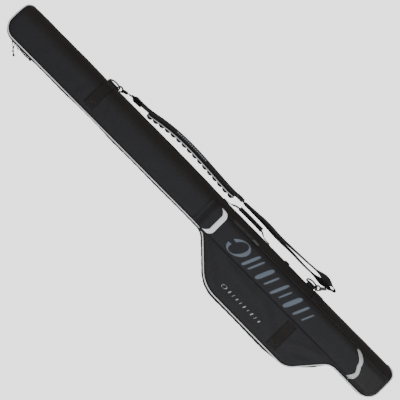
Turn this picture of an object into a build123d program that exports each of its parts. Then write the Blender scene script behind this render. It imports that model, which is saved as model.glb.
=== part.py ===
"""Rod case: a long padded soft case for fishing rods with their reels on, lying on its back.

+X runs from the base end to the tip end, +Y from the spine to the zipped side, +Z out of the front.
The origin is on the flat back, half way along the case and on the centre line of its rod tube.
All sizes are in millimetres.
"""

from build123d import *
from math import asin, cos, radians, sin
import os

# ---------------------------------------------------------------- driving dimensions

CASE_LENGTH = 1644.0  # between the end panels, without the piping
THICKNESS = 110.0
SPINE_Y = -62.0
TUBE_Y = 54.0  # zipped edge of the rod tube, from the tip to the reel compartment
BASE_Y = 63.0  # zipped edge between the reel compartment and the base end
REEL_Y = 176.0  # zipped edge of the reel compartment
SPINE_RADIUS = 45.0
PANEL_WALL = 6.0  # foam between two layers of polyester
LINING_WALL = 2.0
ZIP_Z = 60.0  # height of the zip line and of the fold along the spine
ZIP_GAP = 0.3
TAPE_WIDTH = 6.0
PIPING = 3.0
WRAP_Y = -20.0  # the wrap-round panel ends here and the gusset begins

WEBBING = 38.0
WEBBING_THICKNESS = 2.4
BAND_WIDTH = 40.0
BAND_THICKNESS = 2.0
UPPER_BAND_X = 459.0
LOWER_BAND_X = -480.0

POCKET_TIP_X = -60.0
POCKET_TRIM_X = -718.0
POCKET_LOW_Y, POCKET_HIGH_Y = -31.0, 54.0
POCKET_HEIGHT = 16.0
POCKET_WALL = 2.5

FLAP_SEAM_X = -24.0
FLAP_FREE_X = -100.0
FLAP_LOW_Y, FLAP_HIGH_Y = -38.0, 50.0

RING_Y, RING_Z = -70.0, 36.0  # axis of the D-rings' straight bars
RING_WIRE = 2.75
RING_HALF = 21.75
RING_LEG = 5.0
RING_TILT = 25.0  # degrees out from straight down
UPPER_RING_X = 459.0
LOWER_RING_X = -445.0

STRAP_Z = 23.0  # middle height of the shoulder strap, which stands on edge beside the spine
HOOK_REACH = 52.0  # from the D-ring to the bar that the strap loops round
HANDLE_TIP_X, HANDLE_BASE_X = -78.0, -210.0
HANDLE_Y, HANDLE_Z = -66.5, 45.0  # line that the carry handle swings about

HALF = CASE_LENGTH / 2
FRONT_Z = THICKNESS

# Plan outline of the panels, corner by corner, each with the radius of its curve.
OUTLINE = [
    ((HALF - 2, SPINE_Y), 14),
    ((HALF, TUBE_Y), 44),
    ((-74, TUBE_Y), 60),
    ((-200, REEL_Y), 115),
    ((-557, REEL_Y), 62),
    ((-653, BASE_Y), 50),
    ((-HALF, BASE_Y), 45),
    ((-HALF, SPINE_Y), 25),
]


# ---------------------------------------------------------------- shared shapes


def plan_block(inset, low, high):
    """Block with the case's plan outline, taken in by inset, between two heights."""
    with BuildPart() as block:
        with BuildSketch(Plane.XY.offset(low)):
            with BuildLine():
                Polyline(*[corner for corner, _ in OUTLINE], close=True)
            make_face()
            for corner, radius in OUTLINE:
                fillet(vertices().sort_by_distance(corner)[0], radius=radius)
            if inset:
                offset(amount=-inset)
        extrude(amount=high - low)
    return block.part


def case_block(inset):
    """The whole closed case, rounded along its spine, taken in by inset on every side."""
    with BuildPart() as block:
        add(plan_block(inset, inset, THICKNESS - inset))
        with BuildSketch(Plane.YZ.offset(-CASE_LENGTH)):
            with Locations((SPINE_Y + inset, inset)):
                Rectangle(2 * REEL_Y, THICKNESS - 2 * inset, align=(Align.MIN, Align.MIN))
            spine_corners = vertices().group_by(Axis.X)[0]
            fillet(spine_corners, radius=SPINE_RADIUS - inset)
        extrude(amount=2 * CASE_LENGTH, mode=Mode.INTERSECT)
    return block.part


def room(x_low, x_high, y_low, y_high, z_low, z_high):
    """A plain box between two corners, used to cut other shapes."""
    with BuildPart() as block:
        with Locations((x_low, y_low, z_low)):
            Box(x_high - x_low, y_high - y_low, z_high - z_low, align=(Align.MIN,) * 3)
    return block.part


def finish(piece, name):
    """Labels a finished piece and writes it as the STEP file of its node."""
    piece.part.label = name
    export_step(piece.part, f"parts/{name}.step")


os.makedirs("parts", exist_ok=True)

FAR = CASE_LENGTH
BELOW_ZIP = room(-FAR, FAR, -FAR, FAR, -9, ZIP_Z - ZIP_GAP)
ABOVE_ZIP = room(-FAR, FAR, -FAR, FAR, ZIP_Z + ZIP_GAP, THICKNESS + 9)
OUTER = case_block(0)
PADDED = case_block(PANEL_WALL)
LINED = case_block(PANEL_WALL + LINING_WALL)
SKIN = case_block(-BAND_THICKNESS)


# ---------------------------------------------------------------- back half and lid shells


def panel(half, gusset_low, gusset_high):
    """Padded panel of one half: its flat face and its half of the wrap-round spine."""
    with BuildPart() as piece:
        add(OUTER)
        add(PADDED, mode=Mode.SUBTRACT)
        add(half, mode=Mode.INTERSECT)
        add(gusset_zone(gusset_low, gusset_high), mode=Mode.SUBTRACT)
    return piece


def gusset_zone(low, high, outer=-1.0, inner=PANEL_WALL):
    """Ring round the tip, the zipped side and the base, between two heights."""
    with BuildPart() as ring:
        add(plan_block(outer, low, high))
        add(plan_block(inner, low - 1, high + 1), mode=Mode.SUBTRACT)
        add(room(-FAR, FAR, WRAP_Y, FAR, low, high), mode=Mode.INTERSECT)
    return ring.part


def lining(half):
    """Smooth inner lining of one half."""
    with BuildPart() as piece:
        add(PADDED)
        add(LINED, mode=Mode.SUBTRACT)
        add(half, mode=Mode.INTERSECT)
    return piece


BACK_TAPE_Z = ZIP_Z - ZIP_GAP - TAPE_WIDTH
FRONT_TAPE_Z = ZIP_Z + ZIP_GAP + TAPE_WIDTH

back_panel = panel(BELOW_ZIP, PANEL_WALL, ZIP_Z + 1)
finish(back_panel, "back_panel")
front_panel = panel(ABOVE_ZIP, ZIP_Z - 1, THICKNESS - PANEL_WALL)
finish(front_panel, "front_panel")

RINGS = {
    # node: lower height, upper height, outward side, inward side
    "back_gusset": (PANEL_WALL, BACK_TAPE_Z, 0, PANEL_WALL),
    "front_gusset": (FRONT_TAPE_Z, THICKNESS - PANEL_WALL, 0, PANEL_WALL),
    "back_zip_tape": (BACK_TAPE_Z, ZIP_Z - ZIP_GAP, 1.0, 3.0),
    "front_zip_tape": (ZIP_Z + ZIP_GAP, FRONT_TAPE_Z, 1.0, 3.0),
    "back_zip_coil": (ZIP_Z - ZIP_GAP - 2.4, ZIP_Z - ZIP_GAP, -1.4, 1.0),
    "front_zip_coil": (ZIP_Z + ZIP_GAP, ZIP_Z + ZIP_GAP + 2.4, -1.4, 1.0),
    "back_piping": (3.0, 7.0, -PIPING, 0),
    "front_piping": (THICKNESS - 7.0, THICKNESS - 3.0, -PIPING, 0),
}
for node, (low, high, outward, inward) in RINGS.items():
    with BuildPart() as ring_piece:
        add(gusset_zone(low, high, outward, inward))
    finish(ring_piece, node)

back_lining = lining(BELOW_ZIP)
finish(back_lining, "back_lining")
front_lining = lining(ABOVE_ZIP)
finish(front_lining, "front_lining")

# ---------------------------------------------------------------- inside the back half

PAD_THICKNESS = 12.0
INSIDE = PANEL_WALL + LINING_WALL
END_ROOMS = {
    "base_pad": (-HALF, -HALF + INSIDE + PAD_THICKNESS),
    "tip_pad": (HALF - INSIDE - PAD_THICKNESS, HALF + 9),
}
for node, (x_low, x_high) in END_ROOMS.items():
    with BuildPart() as end_pad:
        add(LINED)
        add(room(x_low, x_high, -FAR, FAR, 0, ZIP_Z - 4), mode=Mode.INTERSECT)
    finish(end_pad, node)

STRAP_XS = [560.0, 60.0, -700.0]
ROD_STRAP_Z = 40.0
for number, strap_x in enumerate(STRAP_XS, start=1):
    with BuildPart() as rod_strap:
        add(LINED)
        add(
            room(strap_x - WEBBING / 2, strap_x + WEBBING / 2, -FAR, FAR, ROD_STRAP_Z, ROD_STRAP_Z + 2),
            mode=Mode.INTERSECT,
        )
    finish(rod_strap, f"rod_strap_{number}")

# ---------------------------------------------------------------- webbing bands round the case


def band(x, y_low, y_high, z_low, z_high):
    """Webbing sewn flat on the outside of the case, following its rounded spine."""
    with BuildPart() as piece:
        add(SKIN)
        add(OUTER, mode=Mode.SUBTRACT)
        add(
            room(x - BAND_WIDTH / 2, x + BAND_WIDTH / 2, y_low, y_high, z_low, z_high),
            mode=Mode.INTERSECT,
        )
    return piece


BAND_LID_Z = ZIP_Z + 8  # a lid's band starts this high, clear of the fold
BAND_BACK_Z = ZIP_Z - 6
for name, band_x in (("upper", UPPER_BAND_X), ("lower", LOWER_BAND_X)):
    finish(band(band_x, -FAR, -30, 4, BAND_BACK_Z), f"{name}_band_back")

finish(band(UPPER_BAND_X, -FAR, 35, BAND_LID_Z, FAR), "upper_band_front")
finish(band(LOWER_BAND_X, -FAR, POCKET_LOW_Y, BAND_LID_Z, FAR), "lower_band_front")
finish(band(LOWER_BAND_X, POCKET_HIGH_Y, REEL_Y - 14, FRONT_Z, FAR), "reel_band")

# ---------------------------------------------------------------- accessory pocket on the lid


def pocket_block(x_low, x_high, inset, height):
    """Raised block on the front panel with rounded long edges."""
    with BuildPart() as block:
        with BuildSketch(Plane.YZ.offset(x_low)):
            with Locations((POCKET_LOW_Y + inset, FRONT_Z)):
                Rectangle(
                    POCKET_HIGH_Y - POCKET_LOW_Y - 2 * inset, height, align=(Align.MIN, Align.MIN)
                )
            fillet(vertices().group_by(Axis.Y)[-1], radius=10 - inset)
        extrude(amount=x_high - x_low)
    return block.part


BASE_PATCH_X = -HALF + 6
POCKET_ROOM = pocket_block(BASE_PATCH_X + POCKET_WALL, FAR, POCKET_WALL, POCKET_HEIGHT - POCKET_WALL)
BASE_PLAN = plan_block(5, FRONT_Z, THICKNESS + 40)
BASE_PLAN_ROOM = plan_block(5 + POCKET_WALL, FRONT_Z, THICKNESS + 40)

with BuildPart() as pocket_panel:
    add(pocket_block(POCKET_TRIM_X, POCKET_TIP_X, 0, POCKET_HEIGHT))
    add(POCKET_ROOM, mode=Mode.SUBTRACT)
finish(pocket_panel, "pocket_panel")

with BuildPart() as patch_room:
    add(POCKET_ROOM)
    add(BASE_PLAN_ROOM, mode=Mode.INTERSECT)

with BuildPart() as base_patch:
    add(pocket_block(-HALF, POCKET_TRIM_X, 0, POCKET_HEIGHT + 1.5))
    add(BASE_PLAN, mode=Mode.INTERSECT)
    add(patch_room.part, mode=Mode.SUBTRACT)
finish(base_patch, "base_patch")

TRIM_THICKNESS = 1.2
with BuildPart() as base_trim:
    add(pocket_block(POCKET_TRIM_X, POCKET_TRIM_X + 18, -TRIM_THICKNESS, POCKET_HEIGHT + TRIM_THICKNESS))
    add(pocket_block(POCKET_TRIM_X - 1, POCKET_TRIM_X + 19, 0, POCKET_HEIGHT), mode=Mode.SUBTRACT)
finish(base_trim, "base_trim")

# ---------------------------------------------------------------- flap over the pocket's mouth

FLAP_UNDER = FRONT_Z + POCKET_HEIGHT + 1.8
FLAP_THICKNESS = 3.0
SEAM_Z = FRONT_Z + 0.1
TRIM_WIDTH = 17.0
TRIM_SIDE = 4.0
TRIM_END_X = -58.0

with BuildPart() as flap_blank:
    with BuildSketch(Plane.XZ.offset(-FLAP_HIGH_Y)):
        with BuildLine():
            Polyline(
                (FLAP_SEAM_X, SEAM_Z),
                (FLAP_SEAM_X - 12, SEAM_Z),
                (FLAP_SEAM_X - 32, FLAP_UNDER),
                (FLAP_FREE_X, FLAP_UNDER),
                (FLAP_FREE_X, FLAP_UNDER + FLAP_THICKNESS),
                (FLAP_SEAM_X - 31, FLAP_UNDER + FLAP_THICKNESS),
                (FLAP_SEAM_X - 10, SEAM_Z + FLAP_THICKNESS),
                (FLAP_SEAM_X, SEAM_Z + FLAP_THICKNESS),
                close=True,
            )
        make_face()
    extrude(amount=FLAP_HIGH_Y - FLAP_LOW_Y)
    free_corners = flap_blank.edges().filter_by(Axis.Z).group_by(Axis.X)[0]
    fillet(free_corners, radius=20)

with BuildPart() as flap_field:
    with BuildSketch(Plane.XY.offset(FRONT_Z)):
        with Locations((FLAP_FREE_X + TRIM_WIDTH, FLAP_LOW_Y + TRIM_SIDE)):
            Rectangle(
                FLAP_SEAM_X - FLAP_FREE_X,
                FLAP_HIGH_Y - FLAP_LOW_Y - 2 * TRIM_SIDE,
                align=(Align.MIN, Align.MIN),
            )
        fillet(vertices().group_by(Axis.X)[0], radius=14)
    extrude(amount=40)
    add(room(TRIM_END_X, 0, -FAR, FAR, FRONT_Z, FRONT_Z + 40))

with BuildPart() as flap_panel:
    add(flap_blank.part)
    add(flap_field.part, mode=Mode.INTERSECT)
finish(flap_panel, "flap_panel")

with BuildPart() as flap_trim:
    add(flap_blank.part)
    add(flap_field.part, mode=Mode.SUBTRACT)
finish(flap_trim, "flap_trim")

PATCH_X, PATCH_Y = -82.0, 6.0
PATCHES = {
    "flap_hook_patch": FLAP_UNDER - 0.8,
    "pocket_loop_patch": FRONT_Z + POCKET_HEIGHT,
}
for node, patch_z in PATCHES.items():
    with BuildPart() as patch:
        with BuildSketch(Plane.XY.offset(patch_z)):
            with Locations((PATCH_X, PATCH_Y)):
                RectangleRounded(22, 50, 3)
        extrude(amount=0.8)
    finish(patch, node)

# ---------------------------------------------------------------- short zip beside the pocket

SIDE_ZIP_LOW_X, SIDE_ZIP_HIGH_X = -218.0, -120.0
SIDE_ZIP_Y = -37.0
with BuildPart() as side_zip_tape:
    add(
        room(
            SIDE_ZIP_LOW_X, SIDE_ZIP_HIGH_X, SIDE_ZIP_Y - 4, SIDE_ZIP_Y + 4, FRONT_Z - 9, FRONT_Z + 0.8
        )
    )
    add(OUTER, mode=Mode.SUBTRACT)
finish(side_zip_tape, "side_zip_tape")

with BuildPart() as side_zip_coil:
    with BuildSketch(Plane.YZ.offset(SIDE_ZIP_LOW_X + 3)):
        with Locations((SIDE_ZIP_Y, FRONT_Z + 0.8)):
            Rectangle(3, 1.4, align=(Align.CENTER, Align.MIN))
        fillet(vertices().group_by(Axis.Y)[-1], radius=0.6)
    extrude(amount=SIDE_ZIP_HIGH_X - SIDE_ZIP_LOW_X - 6)
finish(side_zip_coil, "side_zip_coil")

POCKET_SLIDER_X = -210.0
with BuildPart() as pocket_slider:
    with Locations((POCKET_SLIDER_X, SIDE_ZIP_Y, FRONT_Z + 2.5)):
        Box(11, 6.4, 1.6, align=(Align.CENTER, Align.CENTER, Align.MIN))
    fillet(pocket_slider.edges().filter_by(Axis.Z), radius=2)
    with Locations((POCKET_SLIDER_X + 1, SIDE_ZIP_Y, FRONT_Z + 4.1)):
        Box(6, 2, 2.4, align=(Align.CENTER, Align.CENTER, Align.MIN))
finish(pocket_slider, "pocket_slider")

with BuildPart() as pocket_pull:
    with BuildSketch(Plane.XY.offset(FRONT_Z + 6.6)):
        with Locations((POCKET_SLIDER_X - 9, SIDE_ZIP_Y)):
            SlotOverall(22, 6)
        with Locations((POCKET_SLIDER_X - 16, SIDE_ZIP_Y)):
            Circle(1.4, mode=Mode.SUBTRACT)
    extrude(amount=1.2)
finish(pocket_pull, "pocket_pull")

# ---------------------------------------------------------------- sliders and pulls of the main zip

SLIDER_XS = {"tip": 775.0, "base": 756.0}
SLIDER_LOW, SLIDER_HIGH = 1.8, 5.0  # the slider's plate, measured out from the gusset
BAIL_TOP = 11.5
PULL_PIVOT = 8.3
PULL_WIRE = 2.2


def zip_plane(x, out=0.0):
    """Plane on the straight zipped side, facing outward, with its own X towards the base."""
    return Plane(origin=(x, TUBE_Y + out, ZIP_Z), x_dir=(-1, 0, 0), z_dir=(0, 1, 0))


for name, slider_x in SLIDER_XS.items():
    with BuildPart() as zip_slider:
        with BuildSketch(zip_plane(slider_x, SLIDER_LOW)):
            with BuildLine():
                Polyline((-8, -4), (-8, 4), (2, 6.5), (7, 5), (7, -5), (2, -6.5), close=True)
            make_face()
            fillet(vertices(), radius=1.5)
        extrude(amount=SLIDER_HIGH - SLIDER_LOW)
        with BuildSketch(zip_plane(slider_x, SLIDER_HIGH)):
            Rectangle(13, 3)
        extrude(amount=BAIL_TOP - SLIDER_HIGH)
        with BuildSketch(zip_plane(slider_x, SLIDER_HIGH + 0.8)):
            Rectangle(8, 4)
        extrude(amount=4.6, mode=Mode.SUBTRACT)
    finish(zip_slider, f"zip_slider_{name}")

# How each pull lies: degrees round from pointing to the tip, and degrees of droop.
PULL_LIES = {"tip": (129.0, 15.0, 43.0), "base": (176.0, 6.0, 60.0)}
for name, (turn, droop, length) in PULL_LIES.items():
    pivot = zip_plane(SLIDER_XS[name], PULL_PIVOT)
    level = Vector(cos(radians(turn)), sin(radians(turn)), 0)
    along = level * cos(radians(droop)) - Vector(0, 0, sin(radians(droop)))
    pull_plane = Plane(origin=pivot.origin, x_dir=along, z_dir=Vector(0, 0, 1).cross(level))
    with BuildPart() as zip_pull:
        with BuildSketch(pull_plane):
            with Locations((6, 0)):
                RectangleRounded(12 + PULL_WIRE, 12, 2.5)
                RectangleRounded(12 - PULL_WIRE, 12 - 2 * PULL_WIRE, 1.2, mode=Mode.SUBTRACT)
            with Locations(((12 + length) / 2, 0)):
                Rectangle(length - 14, 3.6)
            with Locations((length - 5, 0)):
                SlotOverall(14, 8)
        extrude(amount=PULL_WIRE / 2, both=True)
    finish(zip_pull, f"zip_pull_{name}")

# ---------------------------------------------------------------- D-rings and their tabs

TAB_LAYER = 2.2
TILT = Vector(0, -sin(radians(RING_TILT)), -cos(radians(RING_TILT)))
RING_XS = {"upper": UPPER_RING_X, "lower": LOWER_RING_X}

for name, ring_x in RING_XS.items():
    ring_plane = Plane(
        origin=(ring_x, RING_Y, RING_Z), x_dir=(1, 0, 0), z_dir=Vector(1, 0, 0).cross(TILT)
    )
    with BuildPart() as ring:
        with BuildLine(ring_plane) as ring_path:
            bar = Line((-RING_HALF, 0), (RING_HALF, 0))
            near_leg = Line(bar @ 1, (RING_HALF, RING_LEG))
            bow = ThreePointArc(near_leg @ 1, (0, RING_LEG + RING_HALF), (-RING_HALF, RING_LEG))
            far_leg = Line(bow @ 1, bar @ 0)
        with BuildSketch(Plane(origin=bar @ 0.5, z_dir=bar % 0.5)):
            Circle(RING_WIRE)
        sweep(path=ring_path.wire(), transition=Transition.ROUND)
    finish(ring, f"{name}_ring")

    with BuildPart() as tab:
        with BuildSketch(Plane.YZ.offset(ring_x - WEBBING / 2)):
            with Locations((RING_Y, RING_Z)):
                Circle(RING_WIRE + 0.3 + TAB_LAYER)
            with Locations((RING_Y, RING_Z)):
                Rectangle(20, 2 * TAB_LAYER, align=(Align.MIN, Align.CENTER))
            with Locations((RING_Y, RING_Z)):
                Circle(RING_WIRE + 0.3, mode=Mode.SUBTRACT)
        extrude(amount=WEBBING)
        if name == "upper":
            add(SKIN, mode=Mode.SUBTRACT)
        else:
            add(OUTER, mode=Mode.SUBTRACT)
            add(room(-FAR, LOWER_BAND_X + BAND_WIDTH / 2 + 0.2, -FAR, FAR, 0, 90), mode=Mode.SUBTRACT)
    finish(tab, f"{name}_ring_tab")

# ---------------------------------------------------------------- snap hooks of the shoulder strap

JAW_INNER, JAW_OUTER = 6.6, 10.5
JAW_SEAT = 2.4  # the D-ring sits this far in front of the middle of the jaw
HOOK_THICKNESS = 6.0
GATE_PIVOT = (11.5, 6.0)
LOOP_WIRE = 3.2
LOOP_HALF = 21.0
LOOP_LENGTH = 14.0
HOOK_YAWS = {"upper": 14.5, "lower": 38.0}  # degrees that each hook turns away from the spine
SEAT_DEPTH = 11.0  # where the hook holds the ring, measured from the ring's bar
BOW_ANGLE = asin((SEAT_DEPTH - RING_LEG) / RING_HALF)
HOOK_BARS = {}

for name, ring_x in RING_XS.items():
    seat = Vector(ring_x - RING_HALF * cos(BOW_ANGLE), RING_Y, RING_Z) + TILT * SEAT_DEPTH
    yaw = radians(HOOK_YAWS[name])
    fall = (seat.Z - STRAP_Z) / HOOK_REACH
    along = Vector(-cos(yaw), -sin(yaw), -fall).normalized()
    jaw = seat + along * JAW_SEAT
    face = TILT - along * TILT.dot(along)
    hook_plane = Plane(origin=jaw, x_dir=along, z_dir=face)

    with BuildPart() as hook:
        with BuildSketch(hook_plane):
            Circle(JAW_OUTER)
            with Locations((17, 0)):
                Rectangle(16, 9)
            Circle(JAW_INNER, mode=Mode.SUBTRACT)
            with BuildLine():
                Polyline((14, 4), (14, 12), (-2, 12), (-1, 4), close=True)
            make_face(mode=Mode.SUBTRACT)
            fillet(vertices().group_by(Axis.X)[-1], radius=1.5)
        extrude(amount=HOOK_THICKNESS / 2, both=True)
        with BuildSketch(Plane(origin=jaw + along * 24, x_dir=face, z_dir=along)):
            Circle(4.6)
        extrude(amount=4)
        with BuildSketch(Plane(origin=jaw + along * 28, x_dir=face, z_dir=along)):
            Circle(2.6)
        extrude(amount=3)
    finish(hook, f"{name}_hook")

    with BuildPart() as gate:
        with BuildSketch(hook_plane):
            with BuildLine():
                Line(GATE_PIVOT, (-0.2, 8.6))
            trace(line_width=3)
            with Locations(GATE_PIVOT):
                Circle(2)
        extrude(amount=HOOK_THICKNESS / 2 - 0.8, both=True)
    finish(gate, f"{name}_hook_gate")

    loop_start = jaw + along * (HOOK_REACH - JAW_SEAT - LOOP_LENGTH)
    level = Vector(-cos(yaw), -sin(yaw), 0)
    near_bar = Vector(loop_start.X, loop_start.Y, STRAP_Z)
    loop_plane = Plane(origin=near_bar, x_dir=level, z_dir=(sin(yaw), -cos(yaw), 0))
    with BuildPart() as loop:
        with BuildSketch(loop_plane):
            with Locations((LOOP_LENGTH / 2, 0)):
                RectangleRounded(LOOP_LENGTH + LOOP_WIRE, 2 * LOOP_HALF + LOOP_WIRE, 4)
                RectangleRounded(LOOP_LENGTH - LOOP_WIRE, 2 * LOOP_HALF - LOOP_WIRE, 2, mode=Mode.SUBTRACT)
        extrude(amount=LOOP_WIRE / 2, both=True)
    finish(loop, f"{name}_swivel_loop")
    HOOK_BARS[name] = near_bar + level * LOOP_LENGTH

# ---------------------------------------------------------------- shoulder strap

STRAP_RADIUS = 60.0
upper_bar = HOOK_BARS["upper"]
lower_bar = HOOK_BARS["lower"]
UPPER_ROUTE = [
    (upper_bar.X - 3.5, upper_bar.Y),
    (318, -92),
    (258, -104),
    (190, -111),
    (110, -111),
    (30, -106),
    (-40, -102),
    (-72, -102.5),
    (-104, -104.6),
]
OUTER_ROUTE = [
    (-107, -104.8),
    (-150, -106),
    (-207, -110),
    (-269, -106),
    (-325, -109),
    (-400, -113),
    (-470, -118),
]
INNER_ROUTE = [
    (-478, -104),
    (-430, -98),
    (-380, -96.5),
    (-325, -99),
    (-262, -97),
    (-205, -101),
    (-150, -101),
    (-107, -100.4),
]


def ribbon(route, radii, width, z_low, z_high, shift=0.0):
    """Upright strip along a plan route, its middle moved sideways towards the spine by shift."""
    with BuildPart() as strip:
        with BuildSketch(Plane.XY.offset(z_low)):
            with BuildLine():
                FilletPolyline(*[(x, y + shift) for x, y in route], radius=radii)
            trace(line_width=width)
        extrude(amount=z_high - z_low)
    return strip


WEB_LOW, WEB_HIGH = STRAP_Z - WEBBING / 2, STRAP_Z + WEBBING / 2

with BuildPart() as strap_upper:
    add(ribbon(UPPER_ROUTE, STRAP_RADIUS, WEBBING_THICKNESS, WEB_LOW + 0.2, WEB_HIGH - 0.2).part)
finish(strap_upper, "strap_upper")

TURN_RADIUS = 5.5  # round the bar of the lower hook
turn_corners = [(lower_bar.X - 8, lower_bar.Y - 6.5), (lower_bar.X - 8, lower_bar.Y + 5)]
turn_route = [*OUTER_ROUTE, *turn_corners, *INNER_ROUTE]
out_bends = [STRAP_RADIUS] * (len(OUTER_ROUTE) - 1)
back_bends = [STRAP_RADIUS] * (len(INNER_ROUTE) - 1)
turn_radii = [*out_bends, TURN_RADIUS, TURN_RADIUS, *back_bends]
with BuildPart() as strap_lower:
    add(ribbon(turn_route, turn_radii, WEBBING_THICKNESS, WEB_LOW + 0.2, WEB_HIGH - 0.2).part)
finish(strap_lower, "strap_lower")

PAD_HEIGHT = 46.0
PAD_TIP_X, PAD_BASE_X = 340.0, -72.0
PAD_LAYERS = {"pad_cover": (4.2, 5.4), "pad_binding": (9.2, 4.0)}
for node, (shift, width) in PAD_LAYERS.items():
    with BuildPart() as pad_layer:
        add(ribbon(UPPER_ROUTE, STRAP_RADIUS, width, 0, PAD_HEIGHT, shift).part)
        add(room(PAD_BASE_X, PAD_TIP_X, -FAR, FAR, 0, PAD_HEIGHT), mode=Mode.INTERSECT)
    finish(pad_layer, node)

RIB_COUNT = 16
RIB_PITCH = 24.5
RIB_FIRST_X = 308.0
RIB_SHIFT = 12.5


def route_y(x):
    """Where the upper stretch of the strap is, at a place along the case."""
    for (x_from, y_from), (x_to, y_to) in zip(UPPER_ROUTE, UPPER_ROUTE[1:]):
        if x_to <= x <= x_from:
            return y_from + (y_to - y_from) * (x_from - x) / (x_from - x_to)


with BuildPart() as pad_ribs:
    with BuildSketch():
        rib_xs = [RIB_FIRST_X - number * RIB_PITCH for number in range(RIB_COUNT)]
        with Locations(*[(x, route_y(x) + RIB_SHIFT) for x in rib_xs]):
            Ellipse(RIB_PITCH / 2 - 0.8, 8)
        with BuildLine():
            FilletPolyline(*[(x, y + RIB_SHIFT - 9) for x, y in UPPER_ROUTE], radius=STRAP_RADIUS)
        trace(line_width=18, mode=Mode.SUBTRACT)
        with BuildLine():
            FilletPolyline(*[(x, y + RIB_SHIFT) for x, y in UPPER_ROUTE], radius=STRAP_RADIUS)
        trace(line_width=2.2)
    extrude(amount=PAD_HEIGHT)
    add(room(PAD_BASE_X, PAD_TIP_X, -FAR, FAR, 0, PAD_HEIGHT), mode=Mode.INTERSECT)
finish(pad_ribs, "pad_ribs")

ADJUSTER_X, ADJUSTER_Y = -86.0, -98.6
with BuildPart() as adjuster:
    with BuildSketch(Plane.XZ.offset(-ADJUSTER_Y)):
        with Locations((ADJUSTER_X, STRAP_Z)):
            RectangleRounded(26, 46, 4)
        with Locations((ADJUSTER_X - 6, STRAP_Z), (ADJUSTER_X + 6, STRAP_Z)):
            Rectangle(7, 38.5, mode=Mode.SUBTRACT)
    extrude(amount=1.6, both=True)
finish(adjuster, "strap_adjuster")

# ---------------------------------------------------------------- carry handle on the spine

ARM_THICKNESS = 2.4
ARM_HEIGHT, NECK_HEIGHT = 22.0, 6.0
GRIP_Y = -79.0
GRIP_RADIUS = 7.8
GRIP_TIP_X, GRIP_BASE_X = -110.0, -204.0

with BuildPart() as handle_webbing:
    with BuildSketch(Plane.XY.offset(HANDLE_Z - ARM_HEIGHT / 2)):
        with BuildLine():
            FilletPolyline(
                (HANDLE_TIP_X - 0.6, HANDLE_Y),
                (HANDLE_TIP_X - 8, HANDLE_Y - 1),
                (HANDLE_TIP_X - 24, GRIP_Y),
                (HANDLE_BASE_X - 2, GRIP_Y),
                (HANDLE_BASE_X - 12, HANDLE_Y - 1),
                (HANDLE_BASE_X - 18, HANDLE_Y),
                radius=[12, 12, 6, 6],
            )
        trace(line_width=ARM_THICKNESS)
    extrude(amount=ARM_HEIGHT)
    with BuildSketch(Plane.XZ.offset(-SPINE_Y)):
        with BuildLine():
            Polyline(
                (HANDLE_TIP_X, HANDLE_Z - NECK_HEIGHT / 2),
                (HANDLE_TIP_X - 20, HANDLE_Z - ARM_HEIGHT / 2),
                (HANDLE_BASE_X - 4, HANDLE_Z - ARM_HEIGHT / 2),
                (HANDLE_BASE_X - 18, HANDLE_Z - NECK_HEIGHT / 2),
                (HANDLE_BASE_X - 18, HANDLE_Z + NECK_HEIGHT / 2),
                (HANDLE_BASE_X - 4, HANDLE_Z + ARM_HEIGHT / 2),
                (HANDLE_TIP_X - 20, HANDLE_Z + ARM_HEIGHT / 2),
                (HANDLE_TIP_X, HANDLE_Z + NECK_HEIGHT / 2),
                close=True,
            )
        make_face()
    extrude(amount=60, mode=Mode.INTERSECT)
    grip_space = Plane.YZ.offset(GRIP_BASE_X - 0.2)
    with BuildSketch(grip_space):
        with Locations((GRIP_Y, HANDLE_Z)):
            Circle(GRIP_RADIUS)
    extrude(amount=GRIP_TIP_X - GRIP_BASE_X + 0.4, mode=Mode.SUBTRACT)
finish(handle_webbing, "handle_webbing")

with BuildPart() as handle_grip:
    with BuildSketch(Plane.YZ.offset(GRIP_BASE_X)):
        with Locations((GRIP_Y, HANDLE_Z)):
            Circle(GRIP_RADIUS)
    extrude(amount=GRIP_TIP_X - GRIP_BASE_X)
    fillet(handle_grip.edges(), radius=3)
finish(handle_grip, "handle_grip")

PATCH_LENGTH = 32.0
HANDLE_ENDS = {"tip": HANDLE_TIP_X + 0.3, "base": HANDLE_BASE_X - 18.3 - PATCH_LENGTH}
for name, patch_x in HANDLE_ENDS.items():
    with BuildPart() as handle_patch:
        add(SKIN)
        add(OUTER, mode=Mode.SUBTRACT)
        add(
            room(patch_x, patch_x + PATCH_LENGTH, -FAR, -30, HANDLE_Z - 12, HANDLE_Z + 12),
            mode=Mode.INTERSECT,
        )
        add(room(patch_x, patch_x + PATCH_LENGTH, HANDLE_Y - 1.2, SPINE_Y - 2, HANDLE_Z - 3, HANDLE_Z + 3))
        add(OUTER, mode=Mode.SUBTRACT)
    finish(handle_patch, f"handle_patch_{name}")

SPINE_LOOP_X = -339.0
with BuildPart() as spine_loop:
    add(
        room(
            SPINE_LOOP_X - 8.5, SPINE_LOOP_X + 8.5, SPINE_Y - 5, SPINE_Y + 4, HANDLE_Z - 13, HANDLE_Z + 7
        )
    )
    add(OUTER, mode=Mode.SUBTRACT)
    add(
        room(
            SPINE_LOOP_X - 9.5, SPINE_LOOP_X + 9.5, SPINE_Y - 2.8, SPINE_Y - 0.5, HANDLE_Z - 9, HANDLE_Z + 4
        ),
        mode=Mode.SUBTRACT,
    )
finish(spine_loop, "spine_loop")
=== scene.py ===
"""Rod case: the looks of a long padded case for fishing rods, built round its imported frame.

All sizes are in metres, in the frame of the case: +X runs from the base end to the tip end,
+Y from the spine to the zipped side and +Z out of the front. Every new piece is a surface worked
out as whole arrays: a grid over two parameters, or a profile carried along a path.
"""

import logging
from dataclasses import dataclass, field
from enum import Enum

import bpy
import numpy as np
from mathutils import Matrix, Vector


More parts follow.
